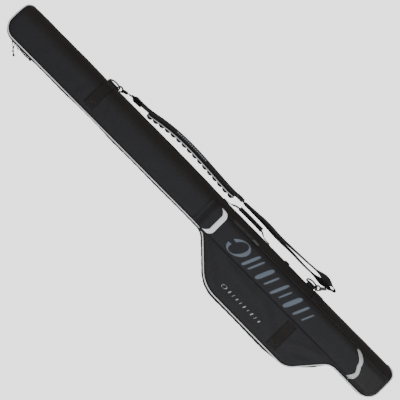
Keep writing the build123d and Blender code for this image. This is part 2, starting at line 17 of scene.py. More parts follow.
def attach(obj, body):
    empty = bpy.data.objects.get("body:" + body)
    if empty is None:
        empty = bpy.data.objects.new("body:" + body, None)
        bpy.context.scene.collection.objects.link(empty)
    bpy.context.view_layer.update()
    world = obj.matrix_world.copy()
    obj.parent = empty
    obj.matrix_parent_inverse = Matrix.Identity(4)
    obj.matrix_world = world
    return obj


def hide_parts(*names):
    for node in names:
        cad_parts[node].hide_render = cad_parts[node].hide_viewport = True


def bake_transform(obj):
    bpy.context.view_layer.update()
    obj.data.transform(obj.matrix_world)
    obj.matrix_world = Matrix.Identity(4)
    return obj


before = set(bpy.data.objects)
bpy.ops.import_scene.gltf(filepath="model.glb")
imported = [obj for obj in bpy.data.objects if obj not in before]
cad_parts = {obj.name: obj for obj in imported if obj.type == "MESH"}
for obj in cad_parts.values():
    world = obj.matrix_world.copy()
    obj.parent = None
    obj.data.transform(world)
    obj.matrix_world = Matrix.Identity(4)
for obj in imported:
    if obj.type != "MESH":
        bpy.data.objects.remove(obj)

LOG = logging.getLogger("rod_case")
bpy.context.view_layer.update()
Grid = np.ndarray
Piece = bpy.types.Object
Material = bpy.types.Material
Colour = tuple[float, float, float]
CAMERA_HEIGHT = 3.07
FLOOR_GLOW = 2.3
SKY_STRENGTH = 0.75


# ------------------------------------------------------------------ surfaces from arrays


def unit(rows: Grid) -> Grid:
    """Every vector of an array divided by its own length."""
    return rows / np.maximum(np.linalg.norm(rows, axis=-1, keepdims=True), 1e-12)


def ease(values: Grid) -> Grid:
    """Smooth step 3t^2 - 2t^3 of values held between 0 and 1."""
    held = np.clip(values, 0.0, 1.0)
    return held * held * (3.0 - 2.0 * held)


def piece_from(name: str, points: Grid, faces: list, corner_uv: Grid | None, material: Material) -> Piece:
    """Puts finished arrays into a new smooth-shaded mesh piece.

    Args:
        name: the piece's name.
        points: vertices, one row each.
        faces: vertex numbers of each face, turned to face outwards.
        corner_uv: one row of pattern coordinates for each face corner, in metres, or None.
        material: what the piece is made of.

    Returns:
        The new object, at the origin.
    """
    mesh = bpy.data.meshes.new(name)
    mesh.from_pydata(points.reshape(-1, 3).tolist(), [], faces)
    if corner_uv is not None:
        layer = mesh.uv_layers.new(name="cloth")
        layer.data.foreach_set("uv", corner_uv.astype(np.float32).ravel())
    mesh.polygons.foreach_set("use_smooth", np.ones(len(mesh.polygons), bool))
    mesh.materials.append(material)
    mesh.update()
    made = bpy.data.objects.new(name, mesh)
    bpy.context.scene.collection.objects.link(made)
    LOG.info("%s: %d faces", name, len(mesh.polygons))
    return made


def quads(rows: int, cols: int, round_rows: bool, round_cols: bool) -> tuple[Grid, Grid, Grid]:
    """Vertex numbers of a grid's squares, which face along d/drow x d/dcol.

    Args:
        rows: how many rows of points there are.
        cols: how many points each row has.
        round_rows: whether the last row joins the first.
        round_cols: whether each row closes on itself.

    Returns:
        The squares, and the row and column of each of their corners before closing round.
    """
    row, col = np.meshgrid(
        np.arange(rows if round_rows else rows - 1), np.arange(cols if round_cols else cols - 1), indexing="ij"
    )
    corner_row = np.stack([row, row + 1, row + 1, row], -1).reshape(-1, 4)
    corner_col = np.stack([col, col, col + 1, col + 1], -1).reshape(-1, 4)
    return (corner_row % rows) * cols + corner_col % cols, corner_row, corner_col


def surface(
    name: str,
    points: Grid,
    material: Material,
    *,
    round_rows: bool = False,
    round_cols: bool = False,
    capped: bool = False,
    flip: bool = False,
) -> Piece:
    """Makes a piece of a grid of points, with pattern coordinates measured along its two ways.

    The pattern coordinates are the mean distances along the rows and along the columns, in metres,
    so that a weave keeps its true size on every piece.

    Args:
        name: the piece's name.
        points: rows x columns x 3.
        material: what the piece is made of.
        round_rows: whether the last row joins the first.
        round_cols: whether each row closes on itself.
        capped: whether the first and last rows are closed with a fan to their middle.
        flip: turns the faces the other way.

    Returns:
        The new piece.
    """
    rows, cols = points.shape[:2]
    squares, corner_row, corner_col = quads(rows, cols, round_rows, round_cols)
    along = np.concatenate([points, points[:1]]) if round_rows else points
    across = np.concatenate([points, points[:, :1]], 1) if round_cols else points
    u = np.concatenate([[0.0], np.cumsum(np.linalg.norm(np.diff(along, axis=0), axis=-1).mean(1))])
    v = np.concatenate([[0.0], np.cumsum(np.linalg.norm(np.diff(across, axis=1), axis=-1).mean(0))])
    corner_uv = np.stack([u[corner_row], v[corner_col]], -1)
    if flip:
        squares, corner_uv = squares[:, ::-1], corner_uv[:, ::-1]
    faces, corners, dots = squares.tolist(), [corner_uv.reshape(-1, 2)], [points.reshape(-1, 3)]
    if capped:
        ring = np.arange(cols)
        for end, turned in ((0, False), (rows - 1, True)):
            middle = np.full(cols, rows * cols + len(dots) - 1)
            fan = np.stack([middle, end * cols + ring, end * cols + (ring + 1) % cols], -1)
            if turned != flip:
                fan = fan[:, ::-1]
            faces += fan.tolist()
            corners.append(np.repeat([[u[end], 0.0]], 3 * cols, 0))
            dots.append(points[end].mean(0, keepdims=True))
    return piece_from(name, np.concatenate(dots), faces, np.concatenate(corners), material)


def scattered(name: str, shape: Grid, squares: Grid, places: Grid, axes: Grid, material: Material) -> Piece:
    """One mesh of many copies of a small shape, each set in its own axes.

    Args:
        name: the piece's name.
        shape: the small shape's points, in its own axes.
        squares: the faces of the small shape.
        places: where each copy goes.
        axes: three unit rows for each copy, the ways that its own X, Y and Z point.
        material: what it is made of.

    Returns:
        The new piece.
    """
    dots = places[:, None, :] + np.einsum("pk,nkc->npc", shape, axes)
    faces = squares[None] + np.arange(len(places))[:, None, None] * len(shape)
    uv = np.repeat(shape[squares][..., :2][None], len(places), 0)
    return piece_from(name, dots, faces.reshape(-1, squares.shape[1]).tolist(), uv.reshape(-1, 2), material)


def pebble(length: float, width: float, height: float, blunt: float = 0.62) -> tuple[Grid, Grid]:
    """A rounded bar of 24 points: three rings of eight, the end rings drawn in by blunt.

    Args:
        length: its size along its own X.
        width: its size along its own Y.
        height: its size along its own Z.
        blunt: size of its ends as a share of its middle.

    Returns:
        Its points and its four-cornered faces.
    """
    turn = (np.arange(8) + 0.5) * np.pi / 4
    loop = np.stack([np.cos(turn), np.sin(turn)], -1) / np.cos(np.pi / 8)
    loop = np.clip(loop, -0.92, 0.92) * [width / 2, height / 2]
    stations = np.array([-0.5, -0.32, 0.32, 0.5]) * length
    grow = np.array([blunt, 1.0, 1.0, blunt])
    dots = np.concatenate(
        [np.broadcast_to(stations[:, None, None], (4, 8, 1)), loop[None] * grow[:, None, None]], -1
    )
    squares, _, _ = quads(4, 8, False, True)
    ring = np.array([[7, 6, 5, 4], [7, 4, 3, 0], [3, 2, 1, 0]])
    return dots.reshape(-1, 3), np.concatenate([squares, ring[:, ::-1] + 0, (ring + 24)])


def carry(path: Grid, profile: Grid, up: Grid, closed: bool = False, lean: Grid | float = 0.0) -> Grid:
    """Carries a flat profile along a path.

    A profile point (a, b) goes a along the side, which is the path's direction x up, and b along
    the lift, which stands square to both; lean turns the profile about the path.

    Args:
        path: points that the profile follows.
        profile: points (a, b) of one profile, or one profile for each path point.
        up: the way that lift points, as near as it can.
        closed: whether the path is a closed loop.
        lean: turn about the path in radians, one value or one for each path point.

    Returns:
        Path points x profile points x 3.
    """
    ahead = np.roll(path, -1, 0) - np.roll(path, 1, 0) if closed else np.gradient(path, axis=0)
    ahead = unit(ahead)
    side = unit(np.cross(ahead, np.broadcast_to(np.asarray(up, float), path.shape)))
    lift = np.cross(side, ahead)
    turn = np.broadcast_to(np.asarray(lean, float), (len(path),))[:, None]
    side, lift = side * np.cos(turn) + lift * np.sin(turn), lift * np.cos(turn) - side * np.sin(turn)
    shape = np.broadcast_to(profile, (len(path), *profile.shape[-2:]))
    return path[:, None] + shape[..., :1] * side[:, None] + shape[..., 1:] * lift[:, None]


def ring_profile(radius_a: float, radius_b: float, count: int = 10, power: float = 2.0) -> Grid:
    """Closed superellipse |a/A|^p + |b/B|^p = 1 as count points, counter-clockwise."""
    turn = np.arange(count) * 2 * np.pi / count
    wave = np.stack([np.cos(turn), np.sin(turn)], -1)
    return np.sign(wave) * np.abs(wave) ** (2.0 / power) * [radius_a, radius_b]


def smooth_line(knots: Grid, count: int) -> Grid:
    """Quadratic B-spline through the ends of a route, evenly spread along its length.

    Each span is the blend (1-t)^2/2, (1+2t-2t^2)/2, t^2/2 of three neighbouring points, and the end
    points are mirrored outwards so that the line reaches them.

    Args:
        knots: the route's points.
        count: how many points to return.

    Returns:
        Points at even distances along the line.
    """
    knots = np.asarray(knots, float)
    held = np.concatenate([2 * knots[:1] - knots[1:2], knots, 2 * knots[-1:] - knots[-2:-1]])
    t = np.linspace(0, 1, 24, endpoint=False)[None, :, None]
    first, middle, last = held[:-2, None], held[1:-1, None], held[2:, None]
    line = ((1 - t) ** 2 * first + (1 + 2 * t - 2 * t * t) * middle + t * t * last) / 2
    line = np.concatenate([line.reshape(-1, knots.shape[1]), (held[-2:-1] + held[-1:]) / 2])
    return even(line, count, start=knots[0], end=knots[-1])


def even(line: Grid, count: int, start: Grid | None = None, end: Grid | None = None) -> Grid:
    """Reads a fine line at even distances.

    Args:
        line: points of the fine line.
        count: how many points to return.
        start: the point of the line nearest to this one comes first, where it is given.
        end: the point nearest to this one comes last, where it is given.

    Returns:
        Evenly spaced points.
    """
    run = np.concatenate([[0.0], np.cumsum(np.linalg.norm(np.diff(line, axis=0), axis=1))])
    low = run[np.argmin(np.linalg.norm(line - start, axis=1))] if start is not None else 0.0
    high = run[np.argmin(np.linalg.norm(line - end, axis=1))] if end is not None else run[-1]
    wanted = np.linspace(low, high, count)
    return np.stack([np.interp(wanted, run, line[:, k]) for k in range(line.shape[1])], -1)


def solid(made: Piece, thickness: float, inwards: bool = True) -> Piece:
    """Gives a sheet its thickness with a Solidify modifier, inwards or to both sides."""
    wall = made.modifiers.new("thickness", "SOLIDIFY")
    wall.thickness = thickness
    wall.offset = -1.0 if inwards else 0.0
    wall.use_even_offset = False
    return made


def place(made: Piece, body: str, slot: str, *nodes: str) -> Piece:
    """Rides a piece on its body and hides the CAD nodes that it stands for."""
    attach(made, body)
    if nodes:
        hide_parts(*nodes)
    return made


# ------------------------------------------------------------------ finishes


class Links:
    """Short hand for building a node tree."""

    def __init__(self, tree: bpy.types.NodeTree) -> None:
        """Keeps the tree that nodes are added to."""
        self.tree = tree

    def node(self, kind: str, settings: dict | None = None, **inputs: object) -> bpy.types.Node:
        """Adds a node.

        Args:
            kind: the node's type.
            settings: its own options, such as operation.
            inputs: a value or a socket for each named input; spaces are written as underscores.

        Returns:
            The node.
        """
        made = self.tree.nodes.new(kind)
        for key, value in (settings or {}).items():
            setattr(made, key, value)
        for key, value in inputs.items():
            spot = made.inputs[int(key[1:])] if key[0] == "i" and key[1:].isdigit() else made.inputs[
                key.replace("_", " ")
            ]
            if isinstance(value, bpy.types.NodeSocket):
                self.tree.links.new(value, spot)
            else:
                spot.default_value = value
        return made

    def maths(self, operation: str, first: object, second: object = 0.0, third: object = 0.0) -> bpy.types.NodeSocket:
        """The result of one Math node."""
        return self.node("ShaderNodeMath", {"operation": operation}, i0=first, i1=second, i2=third).outputs[0]

    def mixed(self, share: object, first: object, second: object, kind: str = "MIX") -> bpy.types.NodeSocket:
        """The colour between two colours at a share."""
        made = self.node("ShaderNodeMix", {"data_type": "RGBA", "blend_type": kind})
        for spot, value in ((made.inputs[0], share), (made.inputs[6], first), (made.inputs[7], second)):
            if isinstance(value, bpy.types.NodeSocket):
                self.tree.links.new(value, spot)
            else:
                spot.default_value = (*value, 1.0) if isinstance(value, tuple) and len(value) == 3 else value
        return made.outputs[2]

    def noise(self, place_at: bpy.types.NodeSocket, scale: float, detail: float = 3.0) -> bpy.types.NodeSocket:
        """A noise value at a place."""
        return self.node("ShaderNodeTexNoise", Vector=place_at, Scale=scale, Detail=detail).outputs[0]


class Effect(Enum):
    """The shared effects that are built once as node groups."""

    WEAVE = "cloth_weave"
    RIBBING = "webbing_ribs"
    CLOUDS = "dye_clouds"
    GRAIN = "moulded_grain"


def new_group(effect: Effect, numbers: dict[str, float], results: tuple[str, ...]) -> tuple[Links, object, object]:
    """Starts a node group with a Vector input, named numbers and named results."""
    tree = bpy.data.node_groups.new(effect.value, "ShaderNodeTree")
    tree.interface.new_socket("Vector", in_out="INPUT", socket_type="NodeSocketVector")
    for name, value in numbers.items():
        tree.interface.new_socket(name, in_out="INPUT", socket_type="NodeSocketFloat").default_value = value
    for name in results:
        tree.interface.new_socket(name, in_out="OUTPUT", socket_type="NodeSocketFloat")
    return Links(tree), tree.nodes.new("NodeGroupInput"), tree.nodes.new("NodeGroupOutput")


def weave_group() -> bpy.types.NodeTree:
    """Plain weave: sin(x) and sin(y) threads pass over each other in a checker; gives Height."""
    links, given, out = new_group(Effect.WEAVE, {"Pitch": 0.0011, "Slub": 0.25}, ("Height",))
    wobble = links.node("ShaderNodeTexNoise", Vector=given.outputs["Vector"], Scale=60.0, Detail=1.0).outputs[0]
    rate = links.maths("DIVIDE", np.pi, given.outputs["Pitch"])
    axes = links.node("ShaderNodeSeparateXYZ", Vector=given.outputs["Vector"]).outputs
    shift = links.maths("MULTIPLY", wobble, given.outputs["Slub"])
    warp = links.maths("SINE", links.maths("MULTIPLY_ADD", axes[0], rate, shift))
    weft = links.maths("SINE", links.maths("MULTIPLY_ADD", axes[1], rate, shift))
    over = links.maths("MULTIPLY", warp, weft)
    height = links.maths("MULTIPLY_ADD", over, 0.35, links.maths("ABSOLUTE", over))
    links.tree.links.new(links.maths("MULTIPLY", height, 0.7), out.inputs["Height"])
    return links.tree


def ribbing_group() -> bpy.types.NodeTree:
    """Webbing: ribs across its width with a chevron of threads in each; gives Height and Groove."""
    links, given, out = new_group(Effect.RIBBING, {"Rib": 0.0022, "Thread": 0.0009}, ("Height", "Groove"))
    axes = links.node("ShaderNodeSeparateXYZ", Vector=given.outputs["Vector"]).outputs
    across = links.maths("DIVIDE", axes[1], given.outputs["Rib"])
    rib = links.maths("ABSOLUTE", links.maths("SINE", links.maths("MULTIPLY", across, np.pi)))
    zigzag = links.maths("PINGPONG", across, 1.0)
    run = links.maths("DIVIDE", axes[0], given.outputs["Thread"])
    thread = links.maths("SINE", links.maths("MULTIPLY", links.maths("ADD", run, zigzag), np.pi))
    links.tree.links.new(links.maths("MULTIPLY_ADD", thread, 0.22, links.maths("SQRT", rib)), out.inputs["Height"])
    links.tree.links.new(links.maths("SUBTRACT", 1.0, links.maths("SQRT", rib)), out.inputs["Groove"])
    return links.tree


def clouds_group() -> bpy.types.NodeTree:
    """Uneven dye and faint dust: two sizes of noise; gives Shade and Dust."""
    links, given, out = new_group(Effect.CLOUDS, {"Scale": 9.0, "Dusting": 0.2}, ("Shade", "Dust"))
    broad = links.node("ShaderNodeTexNoise", Vector=given.outputs["Vector"], Scale=given.outputs["Scale"]).outputs[0]
    fine = links.noise(given.outputs["Vector"], 420.0, 2.0)
    specks = links.maths("MULTIPLY", links.maths("POWER", fine, 3.0), broad)
    links.tree.links.new(broad, out.inputs["Shade"])
    links.tree.links.new(links.maths("MULTIPLY", specks, given.outputs["Dusting"]), out.inputs["Dust"])
    return links.tree


def grain_group() -> bpy.types.NodeTree:
    """Leather or spark-eroded grain: rounded cells with noise; gives Height."""
    links, given, out = new_group(Effect.GRAIN, {"Scale": 900.0, "Soft": 0.5}, ("Height",))
    cells = links.node(
        "ShaderNodeTexVoronoi", {"feature": "SMOOTH_F1"}, Vector=given.outputs["Vector"], Scale=given.outputs["Scale"],
        Smoothness=given.outputs["Soft"],
    ).outputs["Distance"]
    rough = links.noise(given.outputs["Vector"], 2200.0, 2.0)
    links.tree.links.new(links.maths("MULTIPLY_ADD", rough, 0.3, cells), out.inputs["Height"])
    return links.tree


GROUPS = {
    Effect.WEAVE: weave_group(),
    Effect.RIBBING: ribbing_group(),
    Effect.CLOUDS: clouds_group(),
    Effect.GRAIN: grain_group(),
}


class Lie(Enum):
    """Which coordinates a pattern follows."""

    CLOTH = "UV"
    BLOCK = "Object"


@dataclass(frozen=True)
class Finish:
    """One finish: its colour, gloss and the pattern in its surface."""

    name: str
    colour: Colour
    second: Colour
    effect: Effect
    numbers: tuple[float, float]
    relief: float
    roughness: float
    lie: Lie = Lie.CLOTH
    metallic: float = 0.0
    sheen: float = 0.0
    coat: float = 0.0
    specular: float = 0.5
    shade_scale: float = 9.0
    dusting: float = 0.12
    spine_painted_shade: Colour | None = None

    def build(self) -> Material:
        """Builds the finish's material from its values.

        Returns:
            The material: colour from dye clouds and the pattern, with painted shade in the pattern's hollows and, where
                set, painted shade near the spine; gloss varied by them, and bump.
        """
        made = bpy.data.materials.new(self.name)
        made.use_nodes = True
        links = Links(made.node_tree)
        shader = made.node_tree.nodes["Principled BSDF"]
        where = links.node("ShaderNodeTexCoord").outputs
        on = where[self.lie.value]
        pattern = self.placed(links, self.effect, on, self.numbers)
        clouds = self.placed(links, Effect.CLOUDS, where["Object"], (self.shade_scale, self.dusting))
        base = links.mixed(clouds.outputs["Shade"], self.colour, self.second)
        # Painted shade: the colour darkens to brown-black towards the spine (object Y below -0.004 m), standing for the
        # shade where the rolled side turns from the light.
        if self.spine_painted_shade:
            axes = links.node("ShaderNodeSeparateXYZ", Vector=where["Object"]).outputs
            near = links.node(
                "ShaderNodeMapRange", {"interpolation_type": "SMOOTHSTEP"}, Value=axes[1],
                From_Min=-0.004, From_Max=-0.046,
            ).outputs[0]
            base = links.mixed(near, base, self.spine_painted_shade)
        # Painted shade: the pattern's low parts are darkened towards black, standing for shade in the hollows of the
        # weave, ribs and grain.
        low = links.maths("MULTIPLY", links.maths("SUBTRACT", 1.0, pattern.outputs["Height"]), 0.28)
        base = links.mixed(low, base, (0.0, 0.0, 0.0))
        dusty = links.mixed(clouds.outputs["Dust"], base, (0.45, 0.44, 0.42))
        links.tree.links.new(dusty, shader.inputs["Base Color"])
        rough = links.maths("MULTIPLY_ADD", clouds.outputs["Shade"], 0.14, self.roughness - 0.07)
        links.tree.links.new(rough, shader.inputs["Roughness"])
        bump = links.node("ShaderNodeBump", Height=pattern.outputs["Height"], Distance=self.relief, Strength=0.85)
        links.tree.links.new(bump.outputs[0], shader.inputs["Normal"])
        shader.inputs["Metallic"].default_value = self.metallic
        shader.inputs["Sheen Weight"].default_value = self.sheen
        shader.inputs["Sheen Roughness"].default_value = 0.45
        shader.inputs["Coat Weight"].default_value = self.coat
        shader.inputs["Coat Roughness"].default_value = 0.22
        shader.inputs["Specular IOR Level"].default_value = self.specular
        made.diffuse_color = (*self.colour, 1.0)
        return made

    @staticmethod
    def placed(links: Links, effect: Effect, on: bpy.types.NodeSocket, numbers: tuple[float, float]) -> bpy.types.Node:
        """Places a shared effect in a material with this finish's own two numbers."""
        made = links.node("ShaderNodeGroup", {"node_tree": GROUPS[effect]}, Vector=on)
        made.inputs[1].default_value, made.inputs[2].default_value = numbers
        return made


CLOTH, RIB, GRAINED = Effect.WEAVE, Effect.RIBBING, Effect.GRAIN
# The shell cloth's spine_painted_shade is painted shade, brown-black, laid over its colour near the spine.
OXFORD = Finish(
    "shell_oxford", (0.0106, 0.0109, 0.0140), (0.0072, 0.0074, 0.0096), CLOTH, (0.0012, 0.9), 0.00016, 0.66,
    specular=0.22, spine_painted_shade=(0.0050, 0.0026, 0.0018),
)
# Painted shade: the same oxford as the shell at about half its colour, standing for the shade on the side strip and
# along the seam inside the piping.
SHADED_GUSSET_OXFORD = Finish(
    "gusset_oxford_painted_shade", (0.0055, 0.0055, 0.0062), (0.0035, 0.0035, 0.0040), CLOTH, (0.0012, 0.9), 0.00016, 0.72,
    specular=0.15
)
BASE_CLOTH = Finish(
    "base_cloth", (0.0048, 0.0048, 0.0052), (0.0032, 0.0032, 0.0036), CLOTH, (0.0008, 0.4), 0.00010, 0.50,
    specular=0.25
)
SILVER_TRIM = Finish(
    "silver_leather", (0.86, 0.88, 0.95), (0.78, 0.80, 0.87), GRAINED, (700.0, 0.6), 0.00008, 0.36, Lie.BLOCK,
    metallic=0.30, coat=0.25, dusting=0.3,
)
SILVER_RIBBON = Finish(
    "silver_ribbon", (0.52, 0.55, 0.54), (0.40, 0.43, 0.42), CLOTH, (0.0009, 0.4), 0.00010, 0.40, metallic=0.25,
)
PIPING = Finish(
    "silver_piping", (0.88, 0.89, 0.91), (0.76, 0.77, 0.79), CLOTH, (0.0008, 0.3), 0.00008, 0.38, metallic=0.2,
    coat=0.15,
)
LINING = Finish(
    "brushed_lining", (0.050, 0.053, 0.060), (0.036, 0.038, 0.044), CLOTH, (0.0016, 1.6), 0.00022, 0.86,
    sheen=0.5
)
WEBBING = Finish(
    "ribbed_webbing", (0.0100, 0.0098, 0.0098), (0.0068, 0.0066, 0.0066), RIB, (0.0024, 0.0011), 0.00040, 0.70,
    specular=0.15
)
BAND = Finish(
    "band_webbing", (0.0058, 0.0046, 0.0040), (0.0038, 0.0030, 0.0026), RIB, (0.0050, 0.0012), 0.00050, 0.66,
    specular=0.18
)
TAPE = Finish(
    "zip_tape_cloth", (0.0120, 0.0120, 0.0125), (0.0085, 0.0085, 0.0090), RIB, (0.0012, 0.0008), 0.00018, 0.66
)
COIL = Finish(
    "zip_nylon", (0.0100, 0.0100, 0.0105), (0.0140, 0.0140, 0.0145), GRAINED, (1500.0, 0.4), 0.00003, 0.34,
    Lie.BLOCK
)
PALE_TAPE = Finish("beige_tape", (0.105, 0.085, 0.062), (0.075, 0.060, 0.044), RIB, (0.0012, 0.0008), 0.00015, 0.7)
PULLS = Finish(
    "pull_rubber_moulded", (0.0100, 0.0100, 0.0105), (0.0150, 0.0150, 0.0155), GRAINED, (1100.0, 0.5), 0.00006,
    0.55, Lie.BLOCK
)
FOAM = Finish(
    "grip_neoprene", (0.0075, 0.0075, 0.0080), (0.0050, 0.0050, 0.0054), GRAINED, (1300.0, 0.7), 0.00010, 0.80,
    Lie.BLOCK, specular=0.12
)
RIBS = Finish(
    "pad_rubber", (0.0040, 0.0040, 0.0042), (0.0060, 0.0060, 0.0063), GRAINED, (1400.0, 0.5), 0.00006, 0.60,
    Lie.BLOCK, specular=0.2
)
HARDWARE = Finish(
    "black_enamel", (0.0110, 0.0110, 0.0118), (0.0170, 0.0170, 0.0180), GRAINED, (420.0, 0.9), 0.00002, 0.24, Lie.BLOCK,
    coat=0.6, specular=0.6, dusting=0.05,
)
STEEL = Finish(
    "gate_spring_steel", (0.50, 0.50, 0.51), (0.38, 0.38, 0.39), GRAINED, (800.0, 0.8), 0.00002, 0.26,
    Lie.BLOCK, metallic=1.0,
)
ACETAL = Finish(
    "adjuster_acetal", (0.0120, 0.0120, 0.0126), (0.0175, 0.0175, 0.0182), GRAINED, (1600.0, 0.6), 0.00004,
    0.36, Lie.BLOCK
)
VELOUR = Finish(
    "hook_and_loop_pile", (0.0125, 0.0125, 0.0130), (0.0080, 0.0080, 0.0085), GRAINED, (2600.0, 0.2), 0.0004,
    0.9, Lie.BLOCK, sheen=0.4
)
PRINT = Finish("slate_print", (0.085, 0.115, 0.155), (0.070, 0.097, 0.135), CLOTH, (0.0012, 0.9), 0.00010, 0.50)
HALO = Finish("navy_print", (0.0050, 0.0075, 0.0140), (0.0040, 0.0060, 0.0115), CLOTH, (0.0012, 0.9), 0.00010, 0.54)
SMALL_PRINT = Finish("pale_print", (0.34, 0.37, 0.40), (0.28, 0.31, 0.34), CLOTH, (0.0012, 0.9), 0.00010, 0.48)
THREAD = Finish(
    "black_thread", (0.0180, 0.0180, 0.0190), (0.0120, 0.0120, 0.0126), GRAINED, (1500.0, 0.4), 0.00003, 0.5,
    Lie.BLOCK
)
GREY_THREAD = Finish(
    "grey_thread", (0.22, 0.23, 0.24), (0.16, 0.17, 0.18), GRAINED, (1500.0, 0.4), 0.00003, 0.5, Lie.BLOCK
)
FINISHES = (
    OXFORD, SHADED_GUSSET_OXFORD, BASE_CLOTH, SILVER_TRIM, SILVER_RIBBON, PIPING, LINING, WEBBING, BAND, TAPE, COIL,
    PALE_TAPE, PULLS, FOAM,
    RIBS, HARDWARE, STEEL, ACETAL, VELOUR, PRINT, HALO, SMALL_PRINT, THREAD, GREY_THREAD,
)
MADE = {finish.name: finish.build() for finish in FINISHES}


def of(finish: Finish) -> Material:
    """The material built from a finish."""
    return MADE[finish.name]


# ------------------------------------------------------------------ the case's own form


@dataclass
class Form:
    """The case's plan outline and the height of its skin."""

    thick: float = 0.110
    spine_y: float = -0.062
    roll: float = 0.045
    zip_z: float = 0.060
    corners: tuple = (
        (0.820, -0.062, 0.014), (0.822, 0.053, 0.044), (-0.0732, 0.053, 0.060), (-0.1984, 0.172, 0.115),
        (-0.558, 0.174, 0.062), (-0.6525, 0.0635, 0.050), (-0.822, 0.0645, 0.045), (-0.822, -0.062, 0.025),
    )
    spacing: float = 0.0052
    folds: tuple = (
        # x, y, turn, half length, half width, height
        (0.425, 0.012, 2.20, 0.050, 0.010, 0.0022), (0.395, 0.000, 2.05, 0.060, 0.012, 0.0026),
        (0.360, 0.010, 1.95, 0.055, 0.011, 0.0020), (0.330, 0.022, 1.85, 0.040, 0.010, 0.0014),
        (0.500, 0.010, 1.25, 0.045, 0.011, 0.0016), (0.545, 0.018, 1.10, 0.050, 0.013, 0.0012),
        (0.640, -0.002, 0.15, 0.120, 0.014, 0.0012), (0.170, 0.004, 0.04, 0.160, 0.018, 0.0014),
        (0.010, 0.034, 0.30, 0.050, 0.010, 0.0012), (-0.120, 0.088, 2.50, 0.050, 0.012, 0.0026),
        (-0.180, 0.120, 2.40, 0.060, 0.014, 0.0022), (-0.260, 0.078, 3.05, 0.080, 0.012, 0.0020),
        (-0.420, 0.100, 2.75, 0.060, 0.013, 0.0024), (-0.450, 0.130, 2.60, 0.050, 0.012, 0.0020),
        (-0.540, 0.100, 0.50, 0.055, 0.013, 0.0028), (-0.585, 0.080, 0.35, 0.045, 0.011, 0.0022),
        (-0.520, 0.150, 1.30, 0.030, 0.010, 0.0016), (-0.320, 0.140, 0.20, 0.070, 0.016, 0.0014),
    )

    def __post_init__(self) -> None:
        """Samples the outline once."""
        self.line, self.out, self.rim_count = self.sampled()
        self.rim, self.rim_out = self.line[: self.rim_count], self.out[: self.rim_count]

    def sampled(self) -> tuple[Grid, Grid, int]:
        """Walks the rounded outline: each corner is an arc of its radius tangent to both its sides.

        Returns:
            Points, outward unit vectors, and how many of them come before the straight spine side.
        """
        spots = np.array([c[:2] for c in self.corners])
        radii = np.array([c[2] for c in self.corners])
        before, after = unit(spots - np.roll(spots, 1, 0)), unit(np.roll(spots, -1, 0) - spots)
        turn = np.arctan2(before[:, 0] * after[:, 1] - before[:, 1] * after[:, 0], (before * after).sum(1))
        reach = radii * np.abs(np.tan(turn / 2))
        left = np.stack([-before[:, 1], before[:, 0]], -1) * np.sign(turn)[:, None]
        enter, leave = spots - before * reach[:, None], spots + after * reach[:, None]
        centres = enter + left * radii[:, None]
        lines, normals = [], []
        for k in range(len(spots)):
            count = max(12, int(radii[k] * abs(turn[k]) / self.spacing))
            sweep = np.linspace(0, turn[k], count, endpoint=False)[:, None]
            arm = enter[k] - centres[k]
            turned = np.cos(sweep) * arm + np.sin(sweep) * np.array([-arm[1], arm[0]])
            lines.append(centres[k] + turned)
            normals.append(unit(turned) * np.sign(turn[k]))
            following = enter[(k + 1) % len(spots)]
            count = max(2, int(np.linalg.norm(following - leave[k]) / self.spacing))
            lines.append(leave[k] + np.linspace(0, 1, count, endpoint=False)[:, None] * (following - leave[k]))
            normals.append(np.broadcast_to([after[k][1], -after[k][0]], (count, 2)))
        return np.concatenate(lines), np.concatenate(normals), sum(map(len, lines[:-1])) + 1

    def roof(self, y: Grid, inset: float = 0.0) -> Grid:
        """Height of the front skin: flat, then a quarter circle of the roll's radius down to the spine."""
        radius = self.roll - inset
        low = np.clip(y - (self.spine_y + self.roll), -radius, 0.0)
        return self.thick - self.roll + np.sqrt(np.maximum(radius**2 - low**2, 0.0))

    def spine_skin(self, z: Grid) -> Grid:
        """How far out the rolled spine reaches at a height below the middle of the thickness."""
        return self.spine_y + self.roll - np.sqrt(self.roll**2 - np.clip(self.roll - z, 0, 0.04) ** 2)

    def lean(self, y: Grid) -> Grid:
        """Unit vector square to the front skin across the case, as (y, z)."""
        low = np.clip((y - (self.spine_y + self.roll)) / self.roll, -1.0, 0.0)
        return np.stack([low, np.sqrt(1.0 - low**2)], -1)

    def relief(self, x: Grid, y: Grid) -> Grid:
        """Padding's crown and the sum of its soft folds, each a ridge with bell-shaped length and width."""
        crown = 0.0016 * np.cos(np.clip(y / 0.075, -1.5, 1.5))
        wave = 0.0005 * np.sin(41 * x + 9 * y) + 0.0004 * np.sin(67 * x - 31 * y + 1.3)
        total = crown + wave
        for fold_x, fold_y, turn, long, wide, height in self.folds:
            along = (x - fold_x) * np.cos(turn) + (y - fold_y) * np.sin(turn)
            across = (y - fold_y) * np.cos(turn) - (x - fold_x) * np.sin(turn)
            ridge = np.exp(-((across / wide) ** 2)) - 0.6 * np.exp(-(((across - 1.6 * wide) / wide) ** 2))
            total = total + height * ridge * np.exp(-((along / long) ** 2))
        return total

    def settle(self, points: Grid) -> Grid:
        """Lets the spine side sway: full at the tip half, a little drawn in at the base half."""
        x, y = points[..., 0], points[..., 1]
        sway = -0.0042 * ease((x + 0.14) / 0.30) + 0.0012 * ease((-0.20 - x) / 0.15)
        sway = sway * (1 - 0.45 * np.exp(-(((x - 0.459) / 0.045) ** 2))) * ease((0.822 - np.abs(x)) / 0.05 + 0.25)
        moved = points.copy()
        moved[..., 1] = y + sway * ease((-0.026 - y) / 0.034)
        return moved

